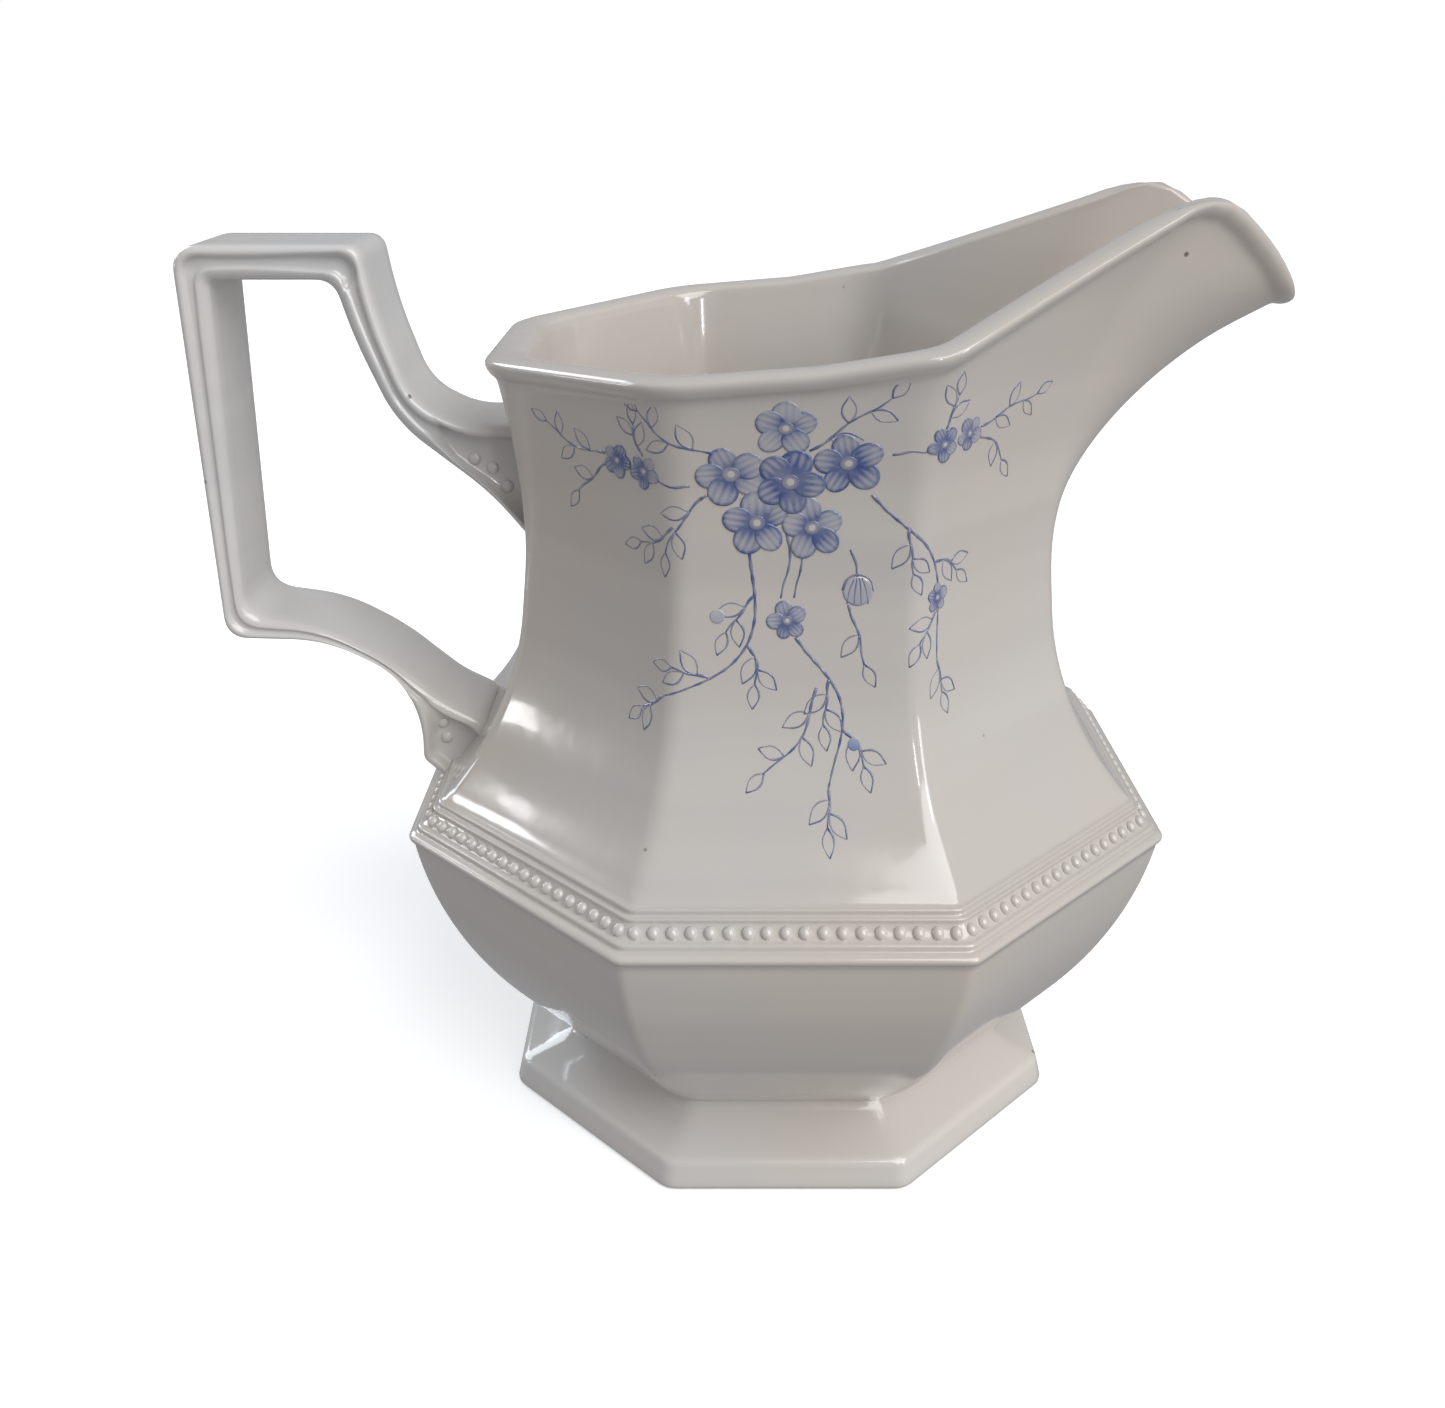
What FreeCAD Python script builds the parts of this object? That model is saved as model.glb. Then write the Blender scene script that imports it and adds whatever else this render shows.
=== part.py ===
# Eight-sided cream jug of glazed white earthenware: pedestal foot, beaded belt at its widest,
# drawn-in waist, rolled rim that climbs to a broad pouring lip, and a square-cornered strap handle.
# Millimetres. +Z is up, the foot stands on z = 0, the jug's axis is the Z axis, +X points to the lip
# and -X to the handle. Every level of the body is an octagon, given by half its width across flats.
import FreeCAD, Part
import math
import os

from FreeCAD import Vector

SHEET_VALUES = [
    # foot
    ("foot_base_half", 38.5),
    ("foot_edge_half", 37.9),
    ("foot_edge_height", 4.4),
    ("foot_slope_half", 32.6),
    ("foot_slope_height", 6.2),
    ("foot_join_half", 30.2),
    ("foot_join_height", 8.2),
    ("foot_edge_round", 1.2),
    ("foot_ring_width", 4.6),
    ("foot_recess_depth", 5.0),
    # bowl and belt
    ("bowl_mid_half", 43.6),
    ("bowl_mid_height", 24.9),
    ("belt_low_half", 49.6),
    ("belt_low_height", 43.8),
    ("belt_top_half", 44.5),
    ("belt_top_height", 49.6),
    ("moulding_proud", 0.5),
    ("lower_moulding_end", 0.24),
    ("upper_moulding_start", 0.57),
    ("upper_moulding_end", 0.78),
    ("bead_row_share", 0.41),
    ("bead_radius", 0.82),
    ("beads_per_panel", 18),
    # walls
    ("wall", 3.6),
    ("lip_wall", 2.8),
    ("floor_thickness", 4.2),
    # waist and flare
    ("draw_in_mid", 8.9),
    ("draw_in_mid_rise", 16.4),
    ("draw_in_end_rise", 25.4),
    ("waist_easing", 0.6),
    ("waist_half", 33.4),
    ("waist_height", 83.0),
    ("flare_rise", 43.0),
    ("flare", 9.6),
    # lip
    ("lip_corner_side", 14.0),
    ("lip_corner_lean", 16.2),
    ("lip_tip_reach", 63.0),
    ("keel_waist_inset", 29.0),
    ("keel_hollow_inset", 16.8),
    ("keel_hollow_rise", 17.0),
    ("keel_turn_reach", 3.0),
    ("keel_turn_rise", 29.0),
    ("keel_crown_reach", 9.6),
    ("keel_crown_rise", 34.0),
    ("keel_top_reach", 15.0),
    ("keel_round", 4.6),
    ("keel_rise_to_lip_wall", 24.0),
    # rim
    ("rim_back_height", 105.2),
    ("rim_proud", 0.9),
    ("rim_drop", 2.2),
    ("rim_lean", 1.6),
    # handle
    ("strap_width", 15.0),
    ("strap_thickness", 4.0),
    ("strap_edge_round", 1.2),
    ("handle_reach", 75.1),
    ("handle_top", 117.6),
    ("handle_base", 66.9),
    ("border_width", 1.5),
    ("border_proud", 0.5),
    ("terminal_width", 12.0),
    ("terminal_bead_radius", 0.9),
]

EIGHTH = math.tan(math.pi / 8.0)
CUT_HALF_WIDTH = 70
# How fast the sides, and the corners beside the lip, lean out above the waist: powers of the rise
FLARE_POWER = 1.77
LEAN_POWER = 2.25
# The belt's slope faces this far outward and this far upward
BELT_FACES_OUT = 0.75
BELT_FACES_UP = 0.66

document = FreeCAD.newDocument("cream_jug")
sheet = document.addObject("Spreadsheet::Sheet", "Sizes")
for row, (alias, value) in enumerate(SHEET_VALUES, start=1):
    sheet.set("A%d" % row, alias)
    sheet.set("B%d" % row, str(value))
    sheet.setAlias("B%d" % row, alias)
document.recompute()


def size(alias):
    """A driving dimension, read from the sheet."""
    return float(sheet.get(alias))


def part_from_shape(name, shape):
    """A sub-part whose shape is worked out here, with its name as its label."""
    feature = document.addObject("Part::Feature", name)
    feature.Label = name
    feature.Shape = shape
    feature.Placement = FreeCAD.Placement()
    return feature


# ---------------------------------------------------------------- octagonal levels

def octagon_object(name, half, height):
    """A regular octagon of one half size across flats, at one height: both are expressions."""
    polygon = document.addObject("Part::RegularPolygon", name)
    polygon.Polygon = 8
    polygon.setExpression("Circumradius", "(%s) * 1 mm / cos(22.5 deg)" % half)
    turn = FreeCAD.Rotation(Vector(0, 0, 1), 22.5)
    polygon.Placement = FreeCAD.Placement(Vector(0, 0, 0), turn)
    polygon.setExpression("Placement.Base.z", "(%s) * 1 mm" % height)
    return polygon


def octagon_stack(name, levels):
    """A solid with flat sloping panels through octagons: each level is (half size, height)."""
    polygons = []
    for index, (half, height) in enumerate(levels):
        polygons.append(octagon_object("%s_level_%d" % (name, index), half, height))
    loft = document.addObject("Part::Loft", name)
    loft.Sections = polygons
    loft.Solid = True
    loft.Ruled = True
    return loft


def cut_object(name, base, tool):
    """The base with the tool taken away, as a sub-part."""
    result = document.addObject("Part::Cut", name)
    result.Label = name
    result.Base = base
    result.Tool = tool
    return result


def section_wire(height, half, corner_x, corner_y, keel_x):
    """One level of the vessel: seven straight panels and the panel under the lip, which is bowed.

    The corners beside the lip lie at (corner_x, +-corner_y) and the bowed panel reaches keel_x.
    """
    side = EIGHTH * half
    corners = [
        (corner_x, corner_y),
        (side, half),
        (-side, half),
        (-half, side),
        (-half, -side),
        (-side, -half),
        (side, -half),
        (corner_x, -corner_y),
    ]
    points = [Vector(x, y, height) for x, y in corners]
    edges = [Part.makeLine(a, b) for a, b in zip(points[:-1], points[1:])]
    pole_x = (keel_x - 0.25 * corner_x) / 0.75
    pole_y = min(corner_y / 3.0, size("keel_round"))
    bowed = Part.BezierCurve()
    bowed.setPoles([
        points[-1],
        Vector(pole_x, -pole_y, height),
        Vector(pole_x, pole_y, height),
        points[0],
    ])
    edges.append(bowed.toShape())
    return Part.Wire(edges)


def regular_wire(height, half):
    """A level where the panel under the lip is still flat."""
    return section_wire(height, half, half, EIGHTH * half, half)


# ---------------------------------------------------------------- vessel

def arc_levels(start, middle, end, count):
    """Levels (half size, height) along the arc through three of them."""
    arc = Part.Arc(*[Vector(half, height, 0) for half, height in (start, middle, end)])
    return [(point.x, point.y) for point in arc.toShape().discretize(count)]


def bowl_levels():
    """The bowl's rounded underside, from the foot to the belt's lower edge."""
    start = (size("foot_join_half"), size("foot_join_height"))
    middle = (size("bowl_mid_half"), size("bowl_mid_height"))
    end = (size("belt_low_half"), size("belt_low_height"))
    return arc_levels(start, middle, end, 6)


def keel_levels():
    """The keel under the lip: how far it stands from the lip's tip, at rises above the waist."""
    waist_end = (-size("keel_waist_inset"), 0.0)
    hollow = (-size("keel_hollow_inset"), size("keel_hollow_rise"))
    turn = (size("keel_turn_reach"), size("keel_turn_rise"))
    crown = (size("keel_crown_reach"), size("keel_crown_rise"))
    top = (size("keel_top_reach"), size("flare_rise"))
    return arc_levels(waist_end, hollow, turn, 6) + arc_levels(turn, crown, top, 4)[1:]


def upper_levels():
    """Levels from the belt's top to above the rim: (height, half, corner_x, corner_y, keel_x).

    Up to the waist the panel under the lip is flat. Above it the corners beside the lip lean out
    and the panel between them swells into a keel, which runs out to the tip of the lip.
    """
    top_half = size("belt_top_half")
    top_height = size("belt_top_height")
    waist = size("waist_half")
    lift = size("waist_height")
    side = size("lip_corner_side")
    reach = size("lip_tip_reach")
    drawn_in = arc_levels(
        (top_half, top_height),
        (top_half - size("draw_in_mid"), top_height + size("draw_in_mid_rise")),
        (waist + size("waist_easing"), top_height + size("draw_in_end_rise")),
        4,
    )
    levels = [(height, half, half, EIGHTH * half, half) for half, height in drawn_in]
    for run, rise in keel_levels():
        share = rise / size("flare_rise")
        half = waist + size("flare") * share ** FLARE_POWER
        corner = waist + size("lip_corner_lean") * share ** LEAN_POWER
        levels.append((lift + rise, half, corner, side, reach + run))
    return levels


def vessel_outside(proud):
    """The solid inside the vessel's outer face, above the belt, or one that stands proud of it."""
    wires = []
    for height, half, corner_x, corner_y, keel_x in upper_levels():
        corner_side = corner_y + 0.4 * proud
        wires.append(section_wire(height, half + proud, corner_x + proud, corner_side, keel_x + proud))
    return Part.makeLoft(wires, True, False)


def bowl_outside():
    """The bowl below the belt, with the belt's slope on top of it."""
    underside = Part.makeLoft([regular_wire(height, half) for half, height in bowl_levels()], True, False)
    belt = Part.makeLoft([
        regular_wire(size("belt_low_height"), size("belt_low_half")),
        regular_wire(size("belt_top_height"), size("belt_top_half")),
    ], True, True)
    return underside.fuse(belt)


def cavity_wires_above_belt():
    """Levels of the inner face from the belt up, set a wall's width in from the outer face."""
    wall = size("wall")
    lip_wall = size("lip_wall")
    wires = [
        regular_wire(size("belt_low_height") + 1.4, size("belt_low_half") - 1.15 * wall),
        regular_wire(size("belt_top_height") + 1.8, size("belt_top_half") - wall),
    ]
    for height, half, corner_x, corner_y, keel_x in upper_levels()[1:]:
        if keel_x <= corner_x:
            wires.append(regular_wire(height, half - wall))
            continue
        steep = min(1.0, (keel_x - corner_x) / size("keel_rise_to_lip_wall"))
        lift = lip_wall * steep
        inset = wall + (0.5 * lip_wall - wall) * steep
        corner_inside = corner_x - wall + 0.4 * lift
        side_inside = corner_y - 0.4 * wall
        wires.append(section_wire(height + lift, half - wall, corner_inside, side_inside, keel_x - inset))
    return wires


def cavity():
    """The space inside: an eight-sided well, rounded in the bowl and open above the rim."""
    wall = size("wall")
    floor = size("foot_join_height") + size("floor_thickness")
    well_wires = [regular_wire(floor, size("foot_join_half") - wall)]
    for half, height in bowl_levels()[1:-1]:
        well_wires.append(regular_wire(height + 0.5 * wall, half - 0.9 * wall))
    upper_wires = cavity_wires_above_belt()
    well_wires.append(upper_wires[0])
    well = Part.makeLoft(well_wires, True, False)
    upper = Part.makeLoft(upper_wires, True, False)
    return well.fuse(upper)


# ---------------------------------------------------------------- rim

def rim_line():
    """The rim seen from the side, in the XZ plane: level at the back, then up to the lip and down."""
    back = size("rim_back_height")
    reach = size("lip_tip_reach")
    start = Vector(-70, 0, back - 2.4)
    front_left = Vector(-15, 0, back + 1.9)
    middle = Vector(2, 0, back + 3.2)
    lip_start = Vector(15, 0, back + 5.3)
    climb_end = Vector(reach - 19, 0, back + 17.6)
    crest = Vector(reach - 15, 0, back + 18.5)
    fall_start = Vector(reach - 11.6, 0, back + 17.4)
    fall_middle = Vector(reach - 5.8, 0, back + 12.6)
    tip = Vector(reach + 1, 0, back + 5.3)
    beyond = Vector(reach + 40, 0, back - 35)
    return [
        Part.makeLine(start, front_left),
        Part.Arc(front_left, middle, lip_start).toShape(),
        Part.makeLine(lip_start, climb_end),
        Part.Arc(climb_end, crest, fall_start).toShape(),
        Part.Arc(fall_start, fall_middle, tip).toShape(),
        Part.makeLine(tip, beyond),
    ]


def above_rim_line(shift):
    """Everything above the rim line, moved by a shift, as one block across the whole jug."""
    edges = rim_line()
    start = edges[0].Vertexes[0].Point
    end = edges[-1].Vertexes[-1].Point
    high = size("rim_back_height") + CUT_HALF_WIDTH
    corners = [end, Vector(end.x, 0, high), Vector(start.x, 0, high), start]
    edges += [Part.makeLine(a, b) for a, b in zip(corners[:-1], corners[1:])]
    face = Part.Face(Part.Wire(edges))
    face.translate(shift + Vector(0, -CUT_HALF_WIDTH, 0))
    return face.extrude(Vector(0, 2 * CUT_HALF_WIDTH, 0))


def make_vessel_and_rim():
    """The vessel, its bowl, walls and lip in one, and the rolled rim that finishes its edge."""
    drop = Vector(-size("rim_lean"), 0, -size("rim_drop"))
    hollow = cavity()
    outside = bowl_outside().fuse(vessel_outside(0.0))
    vessel = outside.cut(hollow).cut(above_rim_line(drop))
    band = vessel_outside(size("rim_proud")).common(above_rim_line(drop))
    rim = band.cut(above_rim_line(Vector(0, 0, 0))).cut(hollow)
    part_from_shape("vessel_body", vessel.removeSplitter())
    part_from_shape("rim_roll", rim.removeSplitter())
    return outside


# ---------------------------------------------------------------- foot

def make_foot():
    """The spreading foot, with a low edge, a sloping top that meets the bowl, and a hollow below."""
    outside = octagon_stack("foot_outside", [
        ("Sizes.foot_base_half - 0.6 * Sizes.foot_edge_round", "0"),
        ("Sizes.foot_base_half", "0.6 * Sizes.foot_edge_round"),
        ("Sizes.foot_edge_half", "Sizes.foot_edge_height - 0.6 * Sizes.foot_edge_round"),
        ("Sizes.foot_edge_half - 0.6 * Sizes.foot_edge_round", "Sizes.foot_edge_height"),
        ("Sizes.foot_slope_half", "Sizes.foot_slope_height"),
        ("Sizes.foot_join_half", "Sizes.foot_join_height"),
    ])
    recess = octagon_stack("foot_recess", [
        ("Sizes.foot_edge_half - Sizes.foot_ring_width", "-1"),
        ("Sizes.foot_edge_half - Sizes.foot_ring_width - 0.2", "0"),
        ("Sizes.foot_join_half - Sizes.foot_ring_width", "Sizes.foot_recess_depth"),
    ])
    cut_object("pedestal_foot", outside, recess)


# ---------------------------------------------------------------- belt

def belt_level(along, proud):
    """Expressions for a level on the belt's slope: a share of the way up, and a stand-off from it."""
    half = ("Sizes.belt_low_half + (%g) * (Sizes.belt_top_half - Sizes.belt_low_half)"
            " + (%g) * Sizes.moulding_proud") % (along, proud * BELT_FACES_OUT)
    height = ("Sizes.belt_low_height + (%g) * (Sizes.belt_top_height - Sizes.belt_low_height)"
              " + (%g) * Sizes.moulding_proud") % (along, proud * BELT_FACES_UP)
    return half, height


def make_moulding(name, start, end):
    """A raised fillet round the belt, between two shares of the way up its slope."""
    width = end - start
    outside = octagon_stack(name + "_outside", [
        belt_level(start, 0.0),
        belt_level(start + 0.2 * width, 0.8),
        belt_level(start + 0.5 * width, 1.0),
        belt_level(start + 0.8 * width, 0.8),
        belt_level(end, 0.0),
    ])
    inside = octagon_stack(name + "_inside", [belt_level(start, 0.0), belt_level(end, 0.0)])
    cut_object(name, outside, inside)


def make_beads():
    """A row of half-round beads part way up the belt's slope, the same on each panel."""
    along = size("bead_row_share")
    low = Vector(size("belt_low_half"), 0, size("belt_low_height"))
    high = Vector(size("belt_top_half"), 0, size("belt_top_height"))
    row = low + (high - low) * along
    outward = Vector(high.z - low.z, 0, low.x - high.x).normalize()
    half_run = EIGHTH * row.x
    count = int(size("beads_per_panel"))
    pitch = 2 * half_run / (count + 0.6)
    beads = []
    for panel in range(8):
        turn = FreeCAD.Rotation(Vector(0, 0, 1), 45.0 * panel)
        for index in range(count):
            side = (index - (count - 1) / 2.0) * pitch
            dome = Part.makeSphere(size("bead_radius"), Vector(), Vector(0, 0, 1), 0, 90, 360)
            stand = FreeCAD.Rotation(Vector(0, 0, 1), outward)
            place = turn.multVec(Vector(row.x, side, row.z))
            dome.Placement = FreeCAD.Placement(place, turn * stand)
            beads.append(dome)
    part_from_shape("belt_bead_row", Part.makeCompound(beads))


# ---------------------------------------------------------------- handle

def plane_of(body, role):
    """One of a body's own origin planes."""
    for feature in body.Origin.OriginFeatures:
        if feature.Role == role:
            return feature


def strap_outer_run():
    """The strap's outer edge from the upper joint, over both corners, to the lower joint."""
    reach = -size("handle_reach")
    top = size("handle_top")
    base = size("handle_base")
    upper_corner = (reach + 22.7, top)
    upper_bend = [(-34.0, top - 22.0), (-39.8, top - 21.6), (-46.6, top - 18.7), (-50.4, top - 10.4)]
    lower_bend = [(reach + 8.0, base - 0.1), (-58.6, base - 2.1), (-52.4, base - 6.2), (-42.5, base - 11.4)]
    return [
        upper_bend + [upper_corner],
        [upper_corner, (reach, top)],
        [(reach, top), (reach, base)],
        [(reach, base)] + lower_bend,
    ]


def strap_inner_run():
    """The strap's inner edge, round the finger gap, from the lower joint back to the upper one."""
    reach = -size("handle_reach")
    top = size("handle_top")
    base = size("handle_base")
    thick = size("strap_thickness")
    under_top = top - thick - 0.2
    lower_corner = (reach + thick - 0.6, base + 2.8)
    upper_corner = (reach + thick, under_top)
    gap_corner = (reach + 19.2, under_top)
    lower_bend = [(-38.0, base - 10.4), (-48.3, base - 5.9), (-56.4, base - 1.0), (-64.4, base + 1.8)]
    upper_bend = [(-53.7, top - 12.0), (-49.2, top - 21.4), (-43.0, top - 24.7), (-32.0, top - 25.6)]
    return [
        lower_bend + [lower_corner],
        [lower_corner, upper_corner],
        [upper_corner, gap_corner],
        [gap_corner] + upper_bend,
    ]


def upper_terminal_run():
    """The web that spreads from the strap's underside down the body, at the upper joint."""
    top = size("handle_top")
    return [
        [(-47.6, top - 22.6), (-42.0, top - 28.0), (-38.0, top - 31.4), (-34.2, top - 36.8)],
        [(-34.2, top - 36.8), (-30.0, top - 36.8)],
        [(-30.0, top - 36.8), (-30.0, top - 24.6)],
        [(-30.0, top - 24.6), (-43.0, top - 23.6)],
    ]


def lower_terminal_run():
    """The web that drops from the strap's underside to the belt, at the lower joint."""
    base = size("handle_base")
    foot = size("belt_top_height") + 0.8
    return [
        [(-55.0, base - 3.8), (-51.4, base - 8.2), (-50.1, base - 12.4), (-49.8, foot)],
        [(-49.8, foot), (-38.0, foot)],
        [(-38.0, foot), (-38.0, base - 12.6)],
        [(-38.0, base - 12.6), (-46.0, base - 8.6)],
    ]


def run_edges(run):
    """The edges of a run as they are drawn: straight between two points, smooth through more."""
    edges = []
    for points in run:
        if len(points) == 2:
            edges.append(Part.LineSegment(Vector(*points[0], 0), Vector(*points[1], 0)))
            continue
        curve = Part.BSplineCurve()
        curve.interpolate([Vector(x, z, 0) for x, z in points])
        edges.append(curve)
    return edges


def closed_outline(runs):
    """Runs end to end as one outline, with a straight edge wherever two don't meet."""
    outline = []
    for run, following in zip(runs, runs[1:] + runs[:1]):
        outline += run
        if run[-1][-1] != following[0][0]:
            outline.append([run[-1][-1], following[0][0]])
    return outline


def padded_outline(name, runs, width):
    """A body padded both ways from the XZ plane, to a width given as an expression."""
    body = document.addObject("PartDesign::Body", name)
    sketch = body.newObject("Sketcher::SketchObject", name + "_sketch")
    sketch.AttachmentSupport = (plane_of(body, "XZ_Plane"), [""])
    sketch.MapMode = "FlatFace"
    for edge in run_edges(closed_outline(runs)):
        sketch.addGeometry(edge, False)
    pad = body.newObject("PartDesign::Pad", name + "_pad")
    pad.Profile = sketch
    pad.Midplane = True
    pad.setExpression("Length", width)
    document.recompute()
    return body, pad


def round_long_edges(body, pad, run, radius):
    """Rounds the pad's long edges that lie along a run, on both side faces."""
    half = size("strap_width") / 2.0
    drawn = [edge.toShape() for edge in run_edges(run)]
    names = []
    for index, edge in enumerate(pad.Shape.Edges, start=1):
        middle = edge.valueAt(0.5 * (edge.FirstParameter + edge.LastParameter))
        flat = Part.Vertex(Vector(middle.x, middle.z, 0))
        on_side = abs(abs(middle.y) - half) < 1e-4
        if on_side and min(flat.distToShape(other)[0] for other in drawn) < 1e-3:
            names.append("Edge%d" % index)
    fillet = body.newObject("PartDesign::Fillet", body.Name + "_rounding")
    fillet.Base = (pad, names)
    fillet.setExpression("Radius", radius)
    document.recompute()


def inset_run(run, distance):
    """A run moved to its left by a distance, with mitred corners."""
    normals = []
    for points, curve in zip(run, run_edges(run)):
        directions = [curve.tangent(curve.parameter(Vector(x, z, 0)))[0] for x, z in points]
        normals.append([Vector(-direction.y, direction.x, 0) for direction in directions])
    moved = []
    for index, points in enumerate(run):
        own = normals[index]
        before = normals[index - 1][-1] if index > 0 else own[0]
        after = normals[index + 1][0] if index < len(run) - 1 else own[-1]
        beside = [before] + own[1:-1] + [after]
        places = []
        for (x, z), normal, other in zip(points, own, beside):
            shift = (normal + other) * (distance / (1 + normal.dot(other)))
            places.append((x + shift.x, z + shift.y))
        moved.append(places)
    return moved


def border_strip(side):
    """The raised strip along the strap's outer edge, on the side face towards +Y (1) or -Y (-1)."""
    outer = strap_outer_run()
    inner = [list(reversed(points)) for points in reversed(inset_run(outer, size("border_width")))]
    edges = [edge.toShape() for edge in run_edges(closed_outline([outer, inner]))]
    strip = Part.Face(Part.Wire(edges))
    strip.rotate(Vector(), Vector(1, 0, 0), 90)
    strip.translate(Vector(0, side * size("strap_width") / 2.0, 0))
    return strip.extrude(Vector(0, side * size("border_proud"), 0))


def make_handle(vessel_solid):
    """The strap, its borders and its two terminals, each ending on the vessel's outer face."""
    strap, pad = padded_outline("strap", [strap_outer_run(), strap_inner_run()], "Sizes.strap_width * 1 mm")
    round_long_edges(strap, pad, strap_inner_run(), "Sizes.strap_edge_round * 1 mm")
    handle = cut_object("handle_strap", strap, vessel_solid)
    terminals = (
        ("handle_upper_terminal", upper_terminal_run()),
        ("handle_lower_terminal", lower_terminal_run()),
    )
    for name, run in terminals:
        web = padded_outline(name + "_web", [run], "Sizes.terminal_width * 1 mm")[0]
        clear_of_body = cut_object(name + "_trimmed", web, vessel_solid)
        cut_object(name, clear_of_body, strap)
    for name, side in (("handle_border_near", -1), ("handle_border_far", 1)):
        strip = border_strip(side).cut(vessel_solid.Shape)
        part_from_shape(name, strip)
    return handle


def make_terminal_beads(name, places):
    """Small half-round beads on both sides of a terminal's web; places are (x, z) pairs."""
    half = size("terminal_width") / 2.0
    beads = []
    for x, z in places:
        for side in (-1, 1):
            dome = Part.makeSphere(size("terminal_bead_radius"), Vector(), Vector(0, 0, 1), 0, 90, 360)
            stand = FreeCAD.Rotation(Vector(0, 0, 1), Vector(0, side, 0))
            dome.Placement = FreeCAD.Placement(Vector(x, side * half, z), stand)
            beads.append(dome)
    part_from_shape(name, Part.makeCompound(beads))


# ---------------------------------------------------------------- the whole jug

SUB_PARTS = [
    "pedestal_foot",
    "vessel_body",
    "rim_roll",
    "belt_lower_moulding",
    "belt_upper_moulding",
    "belt_bead_row",
    "handle_strap",
    "handle_border_near",
    "handle_border_far",
    "handle_upper_terminal",
    "handle_lower_terminal",
    "upper_terminal_beads",
    "lower_terminal_beads",
]


def make_jug():
    """Makes every sub-part of the jug in the document."""
    vessel_solid = document.addObject("Part::Feature", "vessel_solid")
    vessel_solid.Shape = make_vessel_and_rim()
    make_foot()
    make_moulding("belt_lower_moulding", 0.0, size("lower_moulding_end"))
    make_moulding("belt_upper_moulding", size("upper_moulding_start"), size("upper_moulding_end"))
    make_beads()
    make_handle(vessel_solid)
    top = size("handle_top")
    base = size("handle_base")
    upper_places = [(-40.2, top - 27.0), (-38.0, top - 28.2), (-36.2, top - 30.6)]
    lower_places = [(-47.4, base - 10.6), (-46.9, base - 12.8), (-46.4, base - 15.0)]
    make_terminal_beads("upper_terminal_beads", upper_places)
    make_terminal_beads("lower_terminal_beads", lower_places)
    document.recompute()


def check_document():
    """Stops if any object failed or any sub-part's shape is empty or not valid."""
    for item in document.Objects:
        if "Invalid" in item.State or "Error" in item.State:
            raise RuntimeError("%s failed: %s" % (item.Label, item.State))
    for name in SUB_PARTS:
        shape = document.getObject(name).Shape
        if shape.isNull() or not shape.isValid() or not shape.Solids:
            raise RuntimeError("%s has no valid solid" % name)


def write_parts():
    """Writes each sub-part to its own STEP file."""
    os.makedirs("parts", exist_ok=True)
    for name in SUB_PARTS:
        document.getObject(name).Shape.exportStep("parts/%s.step" % name)


make_jug()
check_document()
write_parts()
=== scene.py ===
import math
import random

import bpy
import numpy as np
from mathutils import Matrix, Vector


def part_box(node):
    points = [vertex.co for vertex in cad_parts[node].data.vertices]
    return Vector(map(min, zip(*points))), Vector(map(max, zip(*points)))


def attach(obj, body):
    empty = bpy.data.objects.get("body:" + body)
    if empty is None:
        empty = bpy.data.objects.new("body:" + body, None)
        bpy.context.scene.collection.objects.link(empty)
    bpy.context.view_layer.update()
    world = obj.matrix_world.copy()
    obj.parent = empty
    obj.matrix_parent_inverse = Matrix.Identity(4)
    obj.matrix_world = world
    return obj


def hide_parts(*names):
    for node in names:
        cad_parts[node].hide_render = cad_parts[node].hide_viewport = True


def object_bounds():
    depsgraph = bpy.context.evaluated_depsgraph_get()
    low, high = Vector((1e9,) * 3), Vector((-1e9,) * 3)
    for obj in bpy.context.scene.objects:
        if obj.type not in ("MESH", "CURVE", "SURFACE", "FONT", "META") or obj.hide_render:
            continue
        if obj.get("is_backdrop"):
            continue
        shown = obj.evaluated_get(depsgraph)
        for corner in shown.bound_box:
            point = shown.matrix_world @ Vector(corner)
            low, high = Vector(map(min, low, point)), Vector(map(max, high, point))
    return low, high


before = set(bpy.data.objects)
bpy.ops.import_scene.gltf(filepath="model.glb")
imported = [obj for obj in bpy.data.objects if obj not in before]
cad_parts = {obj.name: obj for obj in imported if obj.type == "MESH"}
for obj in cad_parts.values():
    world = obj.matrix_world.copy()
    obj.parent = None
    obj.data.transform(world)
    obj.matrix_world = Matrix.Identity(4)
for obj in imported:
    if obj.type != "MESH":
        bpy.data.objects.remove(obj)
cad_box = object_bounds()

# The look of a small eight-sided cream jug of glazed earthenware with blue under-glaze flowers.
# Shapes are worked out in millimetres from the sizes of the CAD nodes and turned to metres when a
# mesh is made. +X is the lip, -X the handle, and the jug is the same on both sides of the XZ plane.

MM = 0.001
EIGHTH = math.tan(math.pi / 8)
CORNER_STEPS = 8
PANEL_STEPS = 13
BOWED_STEPS = 30
LEVEL_STEP = 0.4


def node_box(node):
    """The lowest and highest corners of a CAD node, in millimetres."""
    low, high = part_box(node)
    return np.array(low) / MM, np.array(high) / MM


_, FOOT_HIGH = node_box("pedestal_foot")
_, VESSEL_HIGH = node_box("vessel_body")
_, RIM_HIGH = node_box("rim_roll")
STRAP_LOW, STRAP_HIGH = node_box("handle_strap")
BELT_LOW, _ = node_box("belt_lower_moulding")

# ---------------------------------------------------------------- driving sizes, in millimetres

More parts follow.
